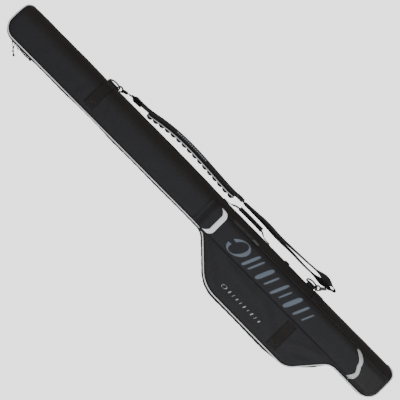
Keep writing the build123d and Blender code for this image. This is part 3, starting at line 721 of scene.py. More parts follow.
    def swell(self, x: Grid) -> Grid:
        """How far the side strips bulge out at a place along the case."""
        tube = 0.0076 - 0.0022 * ease((x - 0.33) / 0.06) * ease((0.56 - x) / 0.08)
        reel = 0.0028 * ease((-0.16 - x) / 0.10)
        slope = 0.0052 * np.exp(-(((x + 0.615) / 0.024) ** 2))
        return tube + reel + slope - 0.0062 * ease((-0.465 - x) / 0.07)

    def skin(self, x: Grid, y: Grid, off: float = 0.0) -> Grid:
        """Points on the padded front skin above plan places, stood off by a distance."""
        lean = self.lean(y)
        off_all = off + self.relief(x, y) * np.clip(lean[..., 1], 0.0, 1.0)
        return np.stack([x, y + lean[..., 0] * off_all, self.roof(y) + lean[..., 1] * off_all], -1)

    def shell(self, inset: float, rows: int, edge_drop: float, edge_width: float) -> tuple[Grid, Grid]:
        """Rings from the outline in to a line down the middle, dense at the edge.

        Ring t lies the share t^2 of the way in, so that the spine's quarter circle is evenly cut; the
        skin drops smoothly to the seam within edge_width of the rim, but not along the spine.

        Args:
            inset: how far inside the outline the shell starts.
            rows: how many rings.
            edge_drop: how far the skin has come down at the seam.
            edge_width: how far in the padding's edge reaches.

        Returns:
            Rings x samples x 3, and the distance in from the edge.
        """
        start = self.line - self.out * inset
        middle = np.stack([np.clip(start[:, 0], -0.775, 0.775), np.full(len(start), 0.006)], -1)
        share = (np.linspace(0, 1, rows) ** 2)[:, None, None]
        plan = start + (middle - start) * share
        inwards = np.linalg.norm(middle - start, axis=1) * share[..., 0]
        rim = ease((self.line[:, 1] + 0.0615) / 0.004) * np.ones_like(inwards)
        x, y = plan[..., 0], plan[..., 1]
        lean = self.lean(np.maximum(y, self.spine_y))
        near = np.clip(1.0 - inwards / edge_width, 0.0, 1.0)
        off = -edge_drop * near**2.2 * rim
        off = off + self.relief(x, y) * ease(inwards / 0.03) * lean[..., 1]
        z = self.roof(y, inset) if inset else self.roof(y)
        return np.stack([x, y + lean[..., 0] * off, z + lean[..., 1] * off], -1), inwards

    def seam(self, outward: float, drop: float) -> Grid:
        """The panel's seam round the rim: the outline moved outward, at the roof's height less a drop."""
        y = self.rim[:, 1]
        return np.concatenate([self.rim + self.rim_out * outward, (self.roof(y) - drop)[:, None]], 1)


FORM = Form()


def mirrored(points: Grid) -> Grid:
    """The same points for the back half, turned over about the middle of the thickness."""
    turned = points.copy()
    turned[..., 2] = FORM.thick - turned[..., 2]
    return turned


@dataclass
class Half:
    """One padded half: its panel, gusset, piping, zip side and lining."""

    body: str
    side: str
    front: bool
    piping_radius: float = 0.0021
    tape_width: float = 0.0060
    tooth_pitch: float = 0.0021
    lining_inset: float = 0.008

    def turned(self, points: Grid) -> Grid:
        """Points made for the lid, for whichever half this is."""
        return points if self.front else mirrored(points)

    def panel(self) -> None:
        """The padded panel with its wrapped spine side."""
        points, _ = FORM.shell(0.0, 34, 0.0058, 0.020)
        if not self.front:
            points[..., 2] = np.minimum(points[..., 2], FORM.thick)
        made = surface(
            f"{self.side}_shell", self.turned(FORM.settle(points)), of(OXFORD), round_cols=True, flip=not self.front
        )
        place(made, self.body, "shell_fabric", f"{self.side}_panel")

    def gusset(self) -> None:
        """The side strip: from the piping's seam down to the zip tape, bulging as b sin(pi v)^0.6."""
        y = FORM.rim[:, 1]
        top = FORM.roof(y) - 0.0052
        low = np.where(y > -0.046, 0.0663, 0.0602)
        v = np.linspace(0, 1, 15)[:, None]
        x = FORM.rim[:, 0]
        run = np.arange(len(x)) * FORM.spacing
        pucker = 0.0004 * np.sin(run * 210) * np.sin(np.pi * v) ** 2 + 0.0005 * np.sin(run * 31 + 2 * v)
        wide = ease((y + 0.050) / 0.04)
        bulge = (FORM.swell(x) + pucker) * np.sin(np.pi * v) ** 0.60 * wide - 0.0005
        tall = np.minimum(top, 0.1052)
        z = tall + (np.minimum(low, tall - 0.0004) - tall) * v
        points = np.stack(
            [x + FORM.rim_out[:, 0] * bulge, y + FORM.rim_out[:, 1] * bulge, z], -1
        )
        # The strip takes the darker oxford: painted shade on the side wall.
        made = surface(f"{self.side}_gusset_cloth", self.turned(FORM.settle(points)), of(SHADED_GUSSET_OXFORD), flip=self.front)
        place(solid(made, 0.0012), self.body, "shell_fabric", f"{self.side}_gusset")

    def piping(self) -> None:
        """Silver cord in the seam, with its stitched lip pressed flat beside it."""
        path = FORM.seam(0.0012, 0.0046)
        lean = FORM.lean(FORM.rim[:, 1])
        tube = carry(path, ring_profile(self.piping_radius, self.piping_radius, 10), (0.0, 0.0, 1.0))
        made = surface(
            f"{self.side}_piping_cord", self.turned(FORM.settle(tube)), of(PIPING), round_cols=True,
            capped=True, flip=not self.front
        )
        place(made, self.body, "silver_piping", f"{self.side}_piping")
        lip = FORM.seam(-0.0030, 0.0031)
        lip[:, 1] += lean[:, 0] * -0.0008
        strip = carry(lip, ring_profile(0.0019, 0.0007, 8, 3.0), (0.0, 0.0, 1.0))
        # The lip takes the darker oxford: painted shade along the seam beside the piping.
        made = surface(
            f"{self.side}_piping_lip", self.turned(FORM.settle(strip)), of(SHADED_GUSSET_OXFORD), round_cols=True, capped=True,
            flip=not self.front,
        )
        place(made, self.body, "shell_fabric")

    def zip_side(self) -> None:
        """Zip tape and a row of coil teeth round the rim, the two halves' teeth half a pitch apart."""
        inside = FORM.rim[:, 1] > -0.044
        rim, out = FORM.rim[inside], FORM.rim_out[inside]
        middle = FORM.zip_z + 0.0003 + self.tape_width / 2
        path = np.concatenate([rim - out * 0.0012, np.full((len(rim), 1), middle)], 1)
        strip = carry(path, ring_profile(0.0009, self.tape_width / 2 + 0.0012, 10, 4.0), (0.0, 0.0, 1.0))
        made = surface(
            f"{self.side}_tape", self.turned_zip(FORM.settle(strip)), of(TAPE), round_cols=True, capped=True,
            flip=not self.front
        )
        place(made, self.body, "zip_tape", f"{self.side}_zip_tape")
        line = np.concatenate([rim + out * 0.0002, np.full((len(rim), 1), FORM.zip_z + 0.0010)], 1)
        length = np.linalg.norm(np.diff(line, axis=0), axis=1).sum()
        count = int(length / self.tooth_pitch)
        spots = even(line, count + 1)
        spots = spots[:-1] if self.front else (spots[:-1] + spots[1:]) / 2
        ahead = unit(np.gradient(spots, axis=0))
        side = unit(np.cross(ahead, [0.0, 0.0, 1.0]))
        up = np.cross(side, ahead)
        shape, squares = pebble(0.0013, 0.0026, 0.0029)
        axes = np.stack([ahead, side, up], 1)
        if not self.front:
            spots = self.turned_zip(spots)
        squares = squares[:, ::-1]
        made = scattered(f"{self.side}_coil", shape, squares, spots, axes, of(COIL))
        place(made, self.body, "zip_coil", f"{self.side}_zip_coil")

    def turned_zip(self, points: Grid) -> Grid:
        """Points made above the zip's middle line, turned over about it for the back half."""
        if self.front:
            return points
        turned = points.copy()
        turned[..., 2] = 2 * FORM.zip_z - turned[..., 2]
        return turned

    def lining(self) -> None:
        """Smooth lining: round the seam's bound edge, up the wall, over a quilted field.

        Diamond quilting is 1.2 mm |sin(p) sin(q)|^0.6 along the two diagonals p and q.
        """
        line, out = FORM.line, FORM.out
        y = line[:, 1]
        profile = np.array([
            [0.0024, 0.0660], [0.0040, 0.0632], [0.0062, 0.0622], [0.0080, 0.0640], [0.0082, 0.0700], [0.0082, 0.0790],
            [0.0084, 0.0880],
        ])
        plan = line[None] - out[None] * profile[:, :1, None]
        wall = np.concatenate([plan, np.broadcast_to(profile[:, 1:, None], (len(profile), len(line), 1))], -1)
        roof_here = FORM.roof(np.maximum(plan[..., 1], -0.0538), self.lining_inset)
        wall[..., 2] = np.minimum(wall[..., 2], np.maximum(roof_here - 0.002, 0.0615))
        field, inwards = FORM.shell(self.lining_inset + 0.0004, 26, 0.0, 0.010)
        x, yy = field[..., 0], np.clip(field[..., 1], -0.0535, 1.0)
        quilt = np.abs(np.sin((x + yy) * 52.0) * np.sin((x - yy) * 52.0)) ** 0.6
        rise = 0.0012 * quilt * ease(inwards / 0.02) - 0.010 * np.clip(
            1 - inwards / 0.010, 0, 1
        ) ** 2 * ease((y + 0.05) / 0.01)
        field[..., 2] = FORM.roof(yy, self.lining_inset) - 0.0014 + rise
        points = np.concatenate([wall, field])
        made = surface(
            f"{self.side}_lining_cloth", self.turned(FORM.settle(points)), of(LINING), round_cols=True,
            flip=self.front
        )
        place(made, self.body, "lining", f"{self.side}_lining")

    def make(self) -> None:
        """Makes the half's pieces in order."""
        self.panel()
        self.gusset()
        self.piping()
        self.zip_side()
        self.lining()


@dataclass
class SpineFold:
    """The cloth that folds along the spine between the two halves, and its lining."""

    reach: float = 0.0105
    ends: float = 0.8135

    def make(self) -> None:
        """Two strips that bend from the case to the lid, a slack roll outside and a flat one inside."""
        x = np.linspace(-self.ends, self.ends, 260)
        v = np.linspace(-1, 1, 17)
        along, across = np.meshgrid(x, v, indexing="ij")
        sag = 0.0011 * (1 - across**2) * (1 + 0.35 * np.sin(along * 57) * np.sin(along * 23 + 1))
        outer = np.stack([along, FORM.spine_y - 0.0004 - sag, 0.055 + across * self.reach], -1)
        inner = np.stack([along, FORM.spine_y + 0.0075 + 0.4 * sag, 0.055 + across * self.reach], -1)
        for name, points, finish, slot, flip in (
            ("spine_fold", outer, OXFORD, "shell_fabric", False),
            ("spine_fold_lining", inner, LINING, "lining", True),
        ):
            made = solid(surface(name, FORM.settle(points), of(finish), flip=flip), 0.0012)
            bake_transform(made)


# ------------------------------------------------------------------ pocket, flap, trims and bands


def stitches(name: str, line: Grid, normal: Grid, body: str, finish: Finish, pitch: float = 0.0046) -> None:
    """Sewn stitches along a line: one small rounded bar for each, a pitch apart.

    Args:
        name: the piece's name.
        line: fine points of the seam.
        normal: the way the cloth faces, one vector or one for each point.
        body: the body that they ride on.
        finish: the thread.
        pitch: distance from stitch to stitch.
    """
    length = np.linalg.norm(np.diff(line, axis=0), axis=1).sum()
    count = max(2, int(length / pitch))
    facing = np.broadcast_to(np.asarray(normal, float), line.shape)
    both = even(np.concatenate([line, facing * 1e-6], 1)[:, :3], count + 1)
    run = np.concatenate([[0.0], np.cumsum(np.linalg.norm(np.diff(line, axis=0), axis=1))])
    wanted = np.linspace(0, run[-1], count + 1)
    up = unit(np.stack([np.interp(wanted, run, facing[:, k]) for k in range(3)], -1))
    spots, up = (both[:-1] + both[1:]) / 2, unit(up[:-1] + up[1:])
    ahead = unit(np.diff(both, axis=0))
    side = unit(np.cross(up, ahead))
    shape, squares = pebble(pitch * 0.74, 0.00085, 0.00062)
    made = scattered(
        name, shape, squares[:, ::-1], spots, np.stack([ahead, side, np.cross(ahead, side)], 1), of(finish)
    )
    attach(made, body)


@dataclass
class Pocket:
    """The long pocket on the lid with its base patch, trim ribbon, flap and short side zip."""

    low_y: float = -0.031
    high_y: float = 0.0535
    height: float = 0.016
    mouth_x: float = -0.060
    patch_x: float = -0.722
    flap_seam_x: float = -0.024
    flap_free_x: float = -0.100
    flap_low_y: float = -0.038
    flap_high_y: float = 0.050
    trim_width: float = 0.017

    def top(self, x: Grid, y: Grid, off: float = 0.0) -> Grid:
        """Height of the pocket: steep rounded side towards the zip, a softer one towards the spine.

        The rise is height (1 - (1 - d/r)^p)^(1/p) of the distance d in from each long edge.
        """
        high = np.clip((self.high_y - y) / 0.013, 0.0, 1.0)
        low = np.clip((y - self.low_y) / 0.020, 0.0, 1.0)
        rise = np.sqrt(1 - (1 - high) ** 2.4) * np.sqrt(1 - (1 - low) ** 2.0)
        crown = 0.0011 * np.cos((y - 0.013) * 34)
        slack = 0.0007 * np.sin(23 * x + 20 * y) + 0.0005 * np.sin(51 * x - 26 * y)
        near_mouth = ease((-0.12 - x) / 0.05)
        end = np.clip((x - self.base_end(y)) / 0.016, 0.0, 1.0)
        ended = np.sqrt(1 - (1 - end) ** 2.2)
        base = FORM.thick + 0.0006
        return base + (self.height - 0.0012 + crown + slack * near_mouth) * rise * ended + off * rise

    def cover(self, x: Grid, y: Grid, off: float = 0.0) -> Grid:
        """Points on the pocket's top above plan places."""
        return np.stack([x, y, self.top(x, y, off)], -1)

    def base_end(self, y: Grid) -> Grid:
        """The patch's base end, which follows the outline's rounded corner 6 mm inside it."""
        corner = np.clip(y - 0.0195, 0.0, 0.0389)
        return -0.777 - np.sqrt(0.0390**2 - corner**2) - 0.0005

    def edge_x(self, y: Grid) -> Grid:
        """Where the base patch begins: an even line that bends to the tip end near the spine side."""
        bend = np.clip((0.004 - y) / 0.035, 0.0, 1.0) ** 2
        return self.patch_x + 0.036 * bend - 0.012 * np.sin(np.clip((y - 0.004) / 0.053, 0, 1) * np.pi) ** 1.2

    def plan(self, x_low: Grid, x_high: Grid, y: Grid, count: int) -> tuple[Grid, Grid]:
        """A grid between two ends that may differ for each y."""
        share = np.linspace(0, 1, count)[:, None]
        return x_low + (x_high - x_low) * share, np.broadcast_to(y, (count, len(y)))

    def across(self, count: int) -> Grid:
        """Places across the pocket, closer together at its two rounded edges."""
        share = np.linspace(0, np.pi, count)
        return self.low_y + (self.high_y - self.low_y) * (1 - np.cos(share)) / 2

    def panel(self) -> None:
        """The pocket's cloth, open at its mouth, with a bound hem and a flat lip sewn to the lid."""
        y = self.across(44)
        x, yy = self.plan(self.edge_x(y) - 0.004, np.full_like(y, self.mouth_x), y, 230)
        made = solid(surface("pocket_cloth", self.cover(x, yy), of(OXFORD)), 0.0014)
        place(made, "lid", "shell_fabric", "pocket_panel")
        hem_y = self.across(44)
        hem = self.cover(np.full_like(hem_y, self.mouth_x + 0.0004), hem_y, 0.0)
        strip = carry(hem, ring_profile(0.0075, 0.0011, 12, 4.0) - [0.0065, 0.0], (0.0, 0.0, 1.0))
        place(
            surface("pocket_mouth_binding", strip, of(WEBBING), round_cols=True, capped=True, flip=False),
            "lid", "webbing"
        )
        for name, edge, out in (("zip_side", self.high_y, 1.0), ("spine_side", self.low_y, -1.0)):
            run = np.linspace(self.patch_x, self.mouth_x, 220)
            line = FORM.skin(run, np.full_like(run, edge + out * 0.0022), 0.0007)
            profile = ring_profile(0.0036, 0.0009, 10, 3.0)
            place(
                surface(
                    f"pocket_lip_{name}", carry(line, profile, (0.0, 0.0, 1.0)), of(OXFORD), round_cols=True,
                    capped=True
                ),
                "lid", "shell_fabric",
            )
            seam = line + [0.0, out * 0.0010, 0.0010]
            stitches(f"pocket_stitches_{name}", seam, (0.0, 0.0, 1.0), "lid", THREAD)

    def base(self) -> None:
        """The smooth patch over the base end and the silver ribbon sewn along its edge."""
        y = self.across(44)
        share = (np.linspace(0, 1, 40) ** 1.6)[:, None]
        x = self.base_end(y) + (self.edge_x(y) - self.base_end(y)) * share
        yy = np.broadcast_to(y, x.shape)
        made = solid(surface("base_patch_cloth", self.cover(x, yy, 0.0012), of(BASE_CLOTH)), 0.0014)
        place(made, "lid", "base_fabric", "base_patch")
        line_y = np.linspace(self.low_y + 0.0005, self.high_y + 0.0022, 90)
        line = self.cover(self.edge_x(line_y) + 0.0065, line_y, 0.0019)
        line[:, 2] = np.maximum(line[:, 2], FORM.thick + 0.0012)
        wide = 0.0066 + 0.0012 * ease((line_y - 0.02) / 0.03)
        shape = ring_profile(1.0, 0.0008, 14, 5.0)[None] * np.stack([wide, np.ones_like(wide)], -1)[:, None]
        lift = np.stack([np.zeros(90), np.gradient(line[:, 2]) * -1, np.gradient(line_y)], -1)
        ribbon = carry(line, shape, unit(lift))
        made = surface("base_ribbon", ribbon, of(SILVER_RIBBON), round_cols=True, capped=True)
        place(made, "lid", "silver_trim", "base_trim")
        for name, shift in (("tip", -0.0052), ("base", 0.0052)):
            seam = self.cover(self.edge_x(line_y) + 0.0065 - shift, line_y, 0.0028)
            seam[:, 2] = np.maximum(seam[:, 2], FORM.thick + 0.0021)
            stitches(f"base_ribbon_stitches_{name}", seam, unit(lift), "lid", GREY_THREAD, 0.0040)

    def flap_height(self, x: Grid, y: Grid) -> Grid:
        """The flap's upper side: it climbs from its seam over the pocket and crowns a little."""
        climb = ease((self.flap_seam_x - 0.006 - x) / 0.030)
        z = FORM.thick + 0.0030 + 0.0167 * climb
        crown = 0.0009 * np.cos((y - 0.006) * 36) * climb
        droop = 0.0008 * np.clip((-0.080 - x) / 0.02, 0, 1) ** 2
        return z + crown - droop

    def flap_plan(self, x_low: float, x_high: float, count: int) -> tuple[Grid, Grid]:
        """A grid over the flap with its two rounded free corners of 20 mm."""
        x = x_low + (x_high - x_low) * (1 - np.cos(np.linspace(0, np.pi / 2, count)))
        cut = 0.020 - np.sqrt(np.maximum(0.020**2 - np.clip(self.flap_free_x + 0.020 - x, 0, 0.020) ** 2, 0))
        side = (1 - np.cos(np.linspace(0, np.pi, 46))) / 2
        low, high = self.flap_low_y + cut, self.flap_high_y - cut
        return np.broadcast_to(x[:, None], (count, 46)), low[:, None] + (high - low)[:, None] * side

    def flap(self) -> None:
        """Padded flap, its silver trim round the free end, seams and hook patch."""
        x, y = self.flap_plan(self.flap_free_x, self.flap_seam_x, 60)
        body = np.stack([x, y, self.flap_height(x, y)], -1)
        made = solid(surface("flap_cloth", body, of(OXFORD), flip=False), 0.0028)
        place(made, "flap", "shell_fabric", "flap_panel")
        share_x = np.linspace(0, 1, 26)[:, None]
        y_cross = np.linspace(-1, 1, 64)
        middle, half = (self.flap_low_y + self.flap_high_y) / 2, (self.flap_high_y - self.flap_low_y) / 2
        corner = np.clip((np.abs(y_cross) * half - (half - 0.020)) / 0.020, 0, 1)
        outer_x = self.flap_free_x - 0.0008 + 0.020 * (1 - np.sqrt(np.maximum(1 - corner**2, 0)))
        inner = np.clip((np.abs(y_cross) * half - (half - 0.019)) / 0.019, 0, 1)
        inner_x = self.flap_free_x + self.trim_width + 0.017 * inner**2.0
        plan_x = outer_x + (inner_x - outer_x) * share_x
        plan_y = np.broadcast_to(middle + y_cross * (half + 0.0008), plan_x.shape)
        rim = np.minimum(1.0, np.minimum(share_x, 1 - share_x) * 9 + 0 * plan_x)
        edge = np.minimum(1.0, (1 - np.abs(y_cross)) * 14)[None]
        puff = 0.0016 * np.sqrt(np.clip(rim, 0, 1)) * np.sqrt(np.clip(edge, 0, 1))
        trim = np.stack([plan_x, plan_y, self.flap_height(plan_x, plan_y) + 0.0001 + puff], -1)
        made = solid(surface("flap_silver_trim", trim, of(SILVER_TRIM)), 0.0030)
        place(made, "flap", "silver_trim", "flap_trim")
        seam_y = middle + y_cross * (half - 0.0035)
        seam = np.stack([inner_x - 0.0022, seam_y, self.flap_height(inner_x, seam_y) + 0.0019], -1)
        stitches("flap_trim_stitches", seam[4:-4], (0.0, 0.0, 1.0), "flap", GREY_THREAD, 0.0040)
        sew_y = np.linspace(self.flap_low_y + 0.004, self.flap_high_y - 0.004, 60)
        for name, back in (("near", 0.0030), ("far", 0.0085)):
            sew_x = np.full_like(sew_y, self.flap_seam_x - back)
            row = np.stack([sew_x, sew_y, self.flap_height(sew_x, sew_y) + 0.0003], -1)
            stitches(f"flap_seam_stitches_{name}", row, (0.0, 0.0, 1.0), "flap", THREAD)
        for name, body_name, z, up in (
            ("flap_hook_pile", "flap", 0.1274, -1.0), ("pocket_loop_pile", "lid", 0.1264, 1.0),
        ):
            turn = np.linspace(0, 2 * np.pi, 48, endpoint=False)
            rim_line = np.stack([np.cos(turn), np.sin(turn)], -1)
            rim_line = np.sign(rim_line) * np.abs(rim_line) ** 0.35 * [0.011, 0.025]
            shares = np.array([0.02, 0.5, 0.86, 0.97, 1.0, 1.0])
            heights = np.array([0.0007, 0.0007, 0.00066, 0.0005, 0.0002, -0.0004])
            pile = np.concatenate([
                rim_line[None] * shares[:, None, None] + [-0.082, 0.006],
                np.broadcast_to((z + up * heights)[:, None, None], (6, 48, 1)),
            ], -1)
            node = "flap_hook_patch" if up < 0 else "pocket_loop_patch"
            made = surface(name, pile, of(VELOUR), round_cols=True, capped=True, flip=up < 0)
            place(made, body_name, "hook_and_loop", node)

    def side_zip(self) -> None:
        """The short zip beside the pocket: pale tape edges, a row of teeth and stitches."""
        x = np.linspace(-0.218, -0.120, 60)
        y = -0.0372
        lean = FORM.lean(np.full_like(x, y))
        normal = np.concatenate([np.zeros((60, 1)), lean], 1)
        line = FORM.skin(x, np.full_like(x, y), 0.0006)
        for name, shift, finish in (("spine", -0.0024, TAPE), ("pocket", 0.0024, PALE_TAPE)):
            path = line + np.stack([0 * x, lean[:, 1] * shift, -lean[:, 0] * shift], -1)
            strip = carry(path, ring_profile(0.0022, 0.0007, 10, 4.0), normal)
            made = surface(f"side_zip_tape_{name}", strip, of(finish), round_cols=True, capped=True)
            place(made, "lid", "zip_tape", "side_zip_tape")
        spots = even(line + normal * 0.0012, 66)[1:-1]
        up = np.broadcast_to(normal[0], spots.shape)
        ahead = np.broadcast_to([1.0, 0.0, 0.0], spots.shape)
        sway = np.where(np.arange(len(spots)) % 2 == 0, 0.0004, -0.0004)[:, None]
        shape, squares = pebble(0.0011, 0.0028, 0.0016)
        side = np.cross(up, ahead)
        made = scattered(
            "side_zip_teeth", shape, squares[:, ::-1], spots + side * sway, np.stack([ahead, side, up], 1),
            of(COIL)
        )
        place(made, "lid", "zip_coil", "side_zip_coil")
        stitches("side_zip_stitches", line + normal * 0.0010 - side[0] * -0.0044, normal, "lid", GREY_THREAD, 0.0038)

    def make(self) -> None:
        """Makes the pocket's pieces in order."""
        self.panel()
        self.base()
        self.flap()
        self.side_zip()


@dataclass
class Motifs:
    """Plain printed motifs: leaning bars and an open ring, in place of any lettering."""

    pocket: Pocket
    bars: tuple = (
        # centre x, half length along y, width along x, lean
        (-0.246, 0.0300, 0.0100, 0.42), (-0.268, 0.0270, 0.0060, 0.42), (-0.306, 0.0300, 0.0150, 0.42),
        (-0.336, 0.0240, 0.0060, 0.42), (-0.372, 0.0300, 0.0100, 0.42), (-0.397, 0.0210, 0.0050, 0.42),
        (-0.430, 0.0300, 0.0160, 0.42), (-0.466, 0.0260, 0.0080, 0.42), (-0.496, 0.0200, 0.0045, 0.42),
    )

    def bar(self, name: str, centre: tuple, size: tuple, lean: float, off: float, finish: Finish, reel: bool) -> None:
        """One leaning bar with pointed thin ends, lying on the cloth.

        Args:
            name: the piece's name.
            centre: its middle in plan.
            size: half length across the case and whole width along it.
            lean: how far it leans along the case for each step across.
            off: how far its ink stands off the cloth.
            finish: the ink.
            reel: whether it lies on the reel panel instead of the pocket.
        """
        v = np.linspace(-1, 1, 30)[:, None]
        u = np.linspace(-1, 1, 9)[None]
        width = size[1] / 2 * (1 - np.abs(v) ** 5) ** 0.5
        y = centre[1] + v * size[0] + 0 * u
        x = centre[0] + lean * v * size[0] + u * width
        self.ink(name, x, y, off, finish, reel)

    def ink(self, name: str, x: Grid, y: Grid, off: float, finish: Finish, reel: bool) -> None:
        """Lays a grid of plan places on the cloth as a thin printed layer."""
        points = FORM.skin(x, y, off) if reel else self.pocket.cover(x, y, off)
        made = solid(surface(name, points, of(finish), flip=True), 0.0005)
        normals = np.cross(points[1, 0] - points[0, 0], points[0, 1] - points[0, 0])
        if normals[2] > 0:
            made.data.flip_normals()
        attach(made, "lid")

    def ring(
        self, name: str, centre: tuple, radii: tuple, width: float, lean: float, off: float, finish: Finish,
        reel: bool
    ) -> None:
        """An open leaning ring, thick at its sides and thin at its ends."""
        turn = np.linspace(0.25, 2 * np.pi - 0.25, 90)[:, None]
        across = np.linspace(-0.5, 0.5, 7)[None]
        thick = width * (0.35 + 0.65 * np.abs(np.cos(turn)))
        y = centre[1] + np.sin(turn) * radii[1] * (1 + 0 * across)
        x = centre[0] + np.cos(turn) * (radii[0] + across * thick) + lean * (y - centre[1])
        y = y + np.sin(turn) * across * thick * 0.35
        self.ink(name, x, y, off, finish, reel)

    def make(self) -> None:
        """Makes the large motif on the pocket and the small one on the reel panel."""
        middle = 0.0125
        self.ring("motif_ring_halo", (-0.190, middle), (0.0285, 0.0300), 0.0190, 0.42, 0.0002, HALO, False)
        self.ring("motif_ring", (-0.190, middle), (0.0285, 0.0290), 0.0135, 0.42, 0.0005, PRINT, False)
        for number, (x, half, width, lean) in enumerate(self.bars, start=1):
            self.bar(
                f"motif_bar_{number}_halo", (x, middle), (half + 0.0020, width + 0.0050), lean, 0.0002, HALO,
                False
            )
            self.bar(f"motif_bar_{number}", (x, middle), (half, width), lean, 0.0005, PRINT, False)
        self.ring("small_ring", (-0.246, 0.130), (0.0085, 0.0060), 0.0030, 0.42, 0.0004, SMALL_PRINT, True)
        for number, x in enumerate(np.linspace(-0.270, -0.400, 9), start=1):
            size = (0.0052 - 0.0010 * (number % 3 == 0), 0.0042 if number % 2 else 0.0018)
            self.bar(f"small_bar_{number}", (float(x), 0.130), size, 0.42, 0.0004, SMALL_PRINT, True)


@dataclass
class Bands:
    """Webbing bands round the case, sewn across near each end, with a cross near the far end."""

    half_width: float = 0.019
    upper_x: float = 0.459
    lower_x: float = -0.480

    def front_line(self, x: float, y_high: float, z_low: float) -> Grid:
        """From low on the spine side, round the roll and over the front to y_high."""
        wall = np.stack([np.full(10, FORM.spine_y), np.linspace(z_low, FORM.thick - FORM.roll, 10, endpoint=False)], -1)
        turn = np.linspace(np.pi, np.pi / 2, 40)
        centre = np.array([FORM.spine_y + FORM.roll, FORM.thick - FORM.roll])
        arc = centre + FORM.roll * np.stack([np.cos(turn), np.sin(turn)], -1)
        flat = np.stack([np.linspace(FORM.spine_y + FORM.roll, max(y_high, -0.0165), 30), np.full(30, FORM.thick)], -1)
        line = np.concatenate([wall, arc, flat[1:]])
        line = line[line[:, 0] <= y_high + 1e-9]
        return np.concatenate([np.full((len(line), 1), x), line], 1)

    def strip(self, name: str, line: Grid, body: str, node: str, front: bool) -> None:
        """Lays webbing on the skin along a line and sews its ends."""
        line = even(line, 90)
        v = np.linspace(-1, 1, 13)
        x = line[:, :1] + v * self.half_width
        lean = FORM.lean(line[:, 1])
        rise = FORM.relief(x, np.broadcast_to(line[:, 1:2], x.shape)) * lean[:, 1:2]
        rim = 0.0017 - 0.0007 * np.abs(v) ** 8
        rise = rise + rim - 0.0012 * (np.abs(np.linspace(-1, 1, 90)) ** 60)[:, None]
        points = np.stack([x, line[:, 1:2] + lean[:, :1] * rise, line[:, 2:3] + lean[:, 1:2] * rise], -1)
        points = FORM.settle(points)
        if not front:
            points = mirrored(points)
        made = solid(surface(name, points, of(BAND), flip=front), 0.0016)
        place(made, body, "webbing", node)
        lift = 0.0003 if front else -0.0003
        for tag, at in (("top", -4), ("low", 4)):
            seam = points[at, 1:-1].copy()
            normal = np.array([0.0, lean[at, 0], lean[at, 1] if front else -lean[at, 1]])
            stitches(f"{name}_stitches_{tag}", seam + normal * abs(lift), normal, body, THREAD, 0.0036)
        box = points[-20:-3] if front else points[-20:-3]
        for tag, first, last in (("a", 1, 11), ("b", 11, 1)):
            column = np.linspace(first, last, len(box)).round().astype(int)
            seam = box[np.arange(len(box)), column]
            normal = np.array([0.0, 0.0, 1.0 if front else -1.0])
            stitches(f"{name}_cross_{tag}", seam + normal * 0.0003, normal, body, THREAD, 0.0036)

    def make(self) -> None:
        """Makes the five bands."""
        self.strip("upper_band", self.front_line(self.upper_x, 0.035, 0.068), "lid", "upper_band_front", True)
        self.strip("lower_band", self.front_line(self.lower_x, -0.033, 0.068), "lid", "lower_band_front", True)
        for name, x in (("upper", self.upper_x), ("lower", self.lower_x)):
            self.strip(f"{name}_band_under", self.front_line(x, -0.030, 0.0570), "case", f"{name}_band_back", False)
        y = np.linspace(0.0575, 0.1610, 60)
        reel = np.stack([np.full_like(y, self.lower_x), y, np.full_like(y, FORM.thick)], -1)
        self.strip("reel_band_webbing", reel, "lid", "reel_band", True)


# ------------------------------------------------------------------ strap, handle, rings and inside


